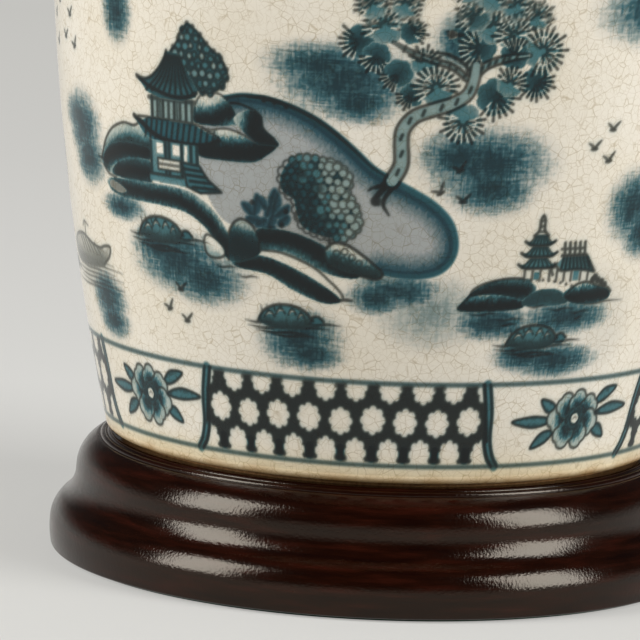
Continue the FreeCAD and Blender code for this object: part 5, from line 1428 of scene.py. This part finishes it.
TOP = SHADE_HIGH - SHADE_LOW
BINDING = 9.0                           # the height of the binding at each edge
cloth_band("linen_cover", "shade_fabric", "shade_linen", 0, TOP, 0, 0.9, 40)
cloth_band("styrene_lining", "shade_liner", "shade_backing", 0, TOP, -1.2, 0.7, 40)
cloth_band("bottom_binding", "shade_bottom_trim", "shade_trim", 0, BINDING, 0.3, 0.9, 10)
cloth_band("top_binding", "shade_top_trim", "shade_trim", TOP - BINDING, TOP, 0.3, 0.9, 10)


# ---------------------------------------------------------------- camera
FRAME_PX = 640
FOCAL_PX = 5500
SENSOR_MM = 36
CAMERA_PITCH = math.radians(9.2863)
CAMERA_ROLL = math.radians(2.3169)
CAMERA_TARGET = Vector((-20.005, 0, 71.348)) * MM
CAMERA_DISTANCE = 1670.96 * MM

camera_data = bpy.data.cameras.new("camera")
camera_data.sensor_width = SENSOR_MM
camera_data.lens = FOCAL_PX * SENSOR_MM / FRAME_PX
camera_data.clip_start = 0.05
camera_data.clip_end = 100
camera = new_object("camera", camera_data)
forward = Vector((0, math.cos(CAMERA_PITCH), -math.sin(CAMERA_PITCH)))
up = Vector((0, math.sin(CAMERA_PITCH), math.cos(CAMERA_PITCH)))
level = Vector((1, 0, 0))
across = level * math.cos(CAMERA_ROLL) + up * math.sin(CAMERA_ROLL)
upright = up * math.cos(CAMERA_ROLL) - level * math.sin(CAMERA_ROLL)
camera.matrix_world = Matrix.Translation(CAMERA_TARGET - forward * CAMERA_DISTANCE) @ Matrix(
    (across, upright, -forward)).transposed().to_4x4()
bpy.context.scene.camera = camera


# ---------------------------------------------------------------- stage and light
def softbox(name, azimuth, elevation, distance, width, height, brightness):
    """A rectangular lamp of an even brightness that faces the lamp's base from an azimuth, positive to
    the right of the camera, and an elevation."""
    lamp = bpy.data.lights.new(name, "AREA")
    lamp.shape = "RECTANGLE"
    lamp.size = width
    lamp.size_y = height
    lamp.energy = brightness * math.pi * width * height
    thing = new_object(name, lamp)
    a, e = math.radians(azimuth), math.radians(elevation)
    away = Vector((math.sin(a) * math.cos(e), -math.cos(a) * math.cos(e), math.sin(e)))
    thing.location = Vector((0, 0, 0.1)) + away * distance
    thing.rotation_mode = "QUATERNION"
    thing.rotation_quaternion = away.to_track_quat("Z", "Y")
    thing.visible_camera = False


softbox("left_softbox", -67, 25, 3.2, 1.6, 2.2, 10.4)
softbox("right_softbox", 63, 25, 3.2, 1.6, 2.2, 10.6)

BACKDROP = "#c4c3bf"


def straight(tree):
    """1 for what the camera sees straight, in metal and glaze or through glass, and 0 for soft light."""
    rays = node(tree, "ShaderNodeLightPath")
    seen = node(tree, "ShaderNodeMath", {0: rays.outputs["Is Camera Ray"],
                                         1: rays.outputs["Is Glossy Ray"]})
    return node(tree, "ShaderNodeMath", {0: seen, 1: rays.outputs["Is Transmission Ray"]}, use_clamp=True)


# The room is dark overhead, with a pale backdrop all round the horizon that lights the lamp a little.
world = bpy.data.worlds.new("studio")
bpy.context.scene.world = world
world.use_nodes = True
room = world.node_tree
room.nodes.clear()
toward = node(room, "ShaderNodeTexCoord")
height = node(room, "ShaderNodeSeparateXYZ", {"Vector": toward.outputs["Generated"]})
walls, glow = (node(room, "ShaderNodeValToRGB", {"Fac": height.outputs["Z"]}, stops) for stops in (
    ((0.05, BACKDROP), (0.14, "#8a8986"), (0.26, "#3c3c3b"), (0.9, "#3a3a3a")),
    ((0.0, "#a09f9b"), (0.14, "#6a6967"), (0.3, "#3c3c3b"), (0.9, "#3a3a3a"))))
surround = node(room, "ShaderNodeMix", {"Factor": straight(room), "A": glow, "B": walls}, data_type="RGBA")
sky = node(room, "ShaderNodeBackground", {"Color": surround, "Strength": 1.0})
node(room, "ShaderNodeOutputWorld", {"Surface": sky})

# The floor is pale paper whose colour is a little darker in the pool under the lamp: painted shade that
# tones down the lamps' brighter light there. Seen straight it glows, brighter near the lamp and greyer far
# off, a painted falloff of light that lifts its shadows a little and runs on into the backdrop, and soft
# light meets a grey.
FLOOR_HALF = 12.0
floor_mesh = bpy.data.meshes.new("floor")
floor_mesh.from_pydata([(x * FLOOR_HALF, y * FLOOR_HALF, 0) for x,
                        y in ((-1, -1), (1, -1), (1, 1), (-1, 1))], [],
                       [(0, 1, 2, 3)])
floor = new_object("floor", floor_mesh)
paper, sheet, spot = material("floor_paper")
away = node(sheet, "ShaderNodeVectorMath", {0: spot}, operation="LENGTH").outputs["Value"]
# painted shade: the paper's colour is darker near the lamp, where the lamps light it most
painted_shade_pool = node(sheet, "ShaderNodeValToRGB", {"Fac": away}, ((0.1, "#c4c3bf"), (0.3, "#dddcd8"),
                                                         (0.8, "#e2e1dd")))
looked_at = straight(sheet)
paper_tone = node(sheet, "ShaderNodeMix", {"Factor": looked_at, "A": srgb("#6e6d6b"), "B": painted_shade_pool},
                  data_type="RGBA")
paper_face = node(sheet, "ShaderNodeBsdfPrincipled", {"Base Color": paper_tone, "Roughness": 0.9})
half_away = node(sheet, "ShaderNodeMath", {0: away, 1: 0.5}, operation="MULTIPLY")
# painted light: the glow fades from bright near the lamp to the backdrop's grey far off
painted_falloff_tone = node(sheet, "ShaderNodeValToRGB", {"Fac": half_away}, (
    (0.06, "#e4e3df"), (0.2, "#dbdad6"), (0.45, "#cecdc9"), (0.75, BACKDROP)))
backdrop_glow = node(sheet, "ShaderNodeEmission", {"Color": painted_falloff_tone, "Strength": 1.0})
beyond = node(sheet, "ShaderNodeMapRange", {"Value": away, "From Min": 0.3, "From Max": 1.6, "To Min": 0.5},
              interpolation_type="SMOOTHSTEP")
share = node(sheet, "ShaderNodeMath", {0: beyond, 1: looked_at}, operation="MULTIPLY")
floor_skin = node(sheet, "ShaderNodeMixShader", {0: share, 1: paper_face, 2: backdrop_glow})
node(sheet, "ShaderNodeOutputMaterial", {"Surface": floor_skin})
floor_mesh.materials.append(paper)

bpy.context.scene.view_settings.view_transform = "Standard"
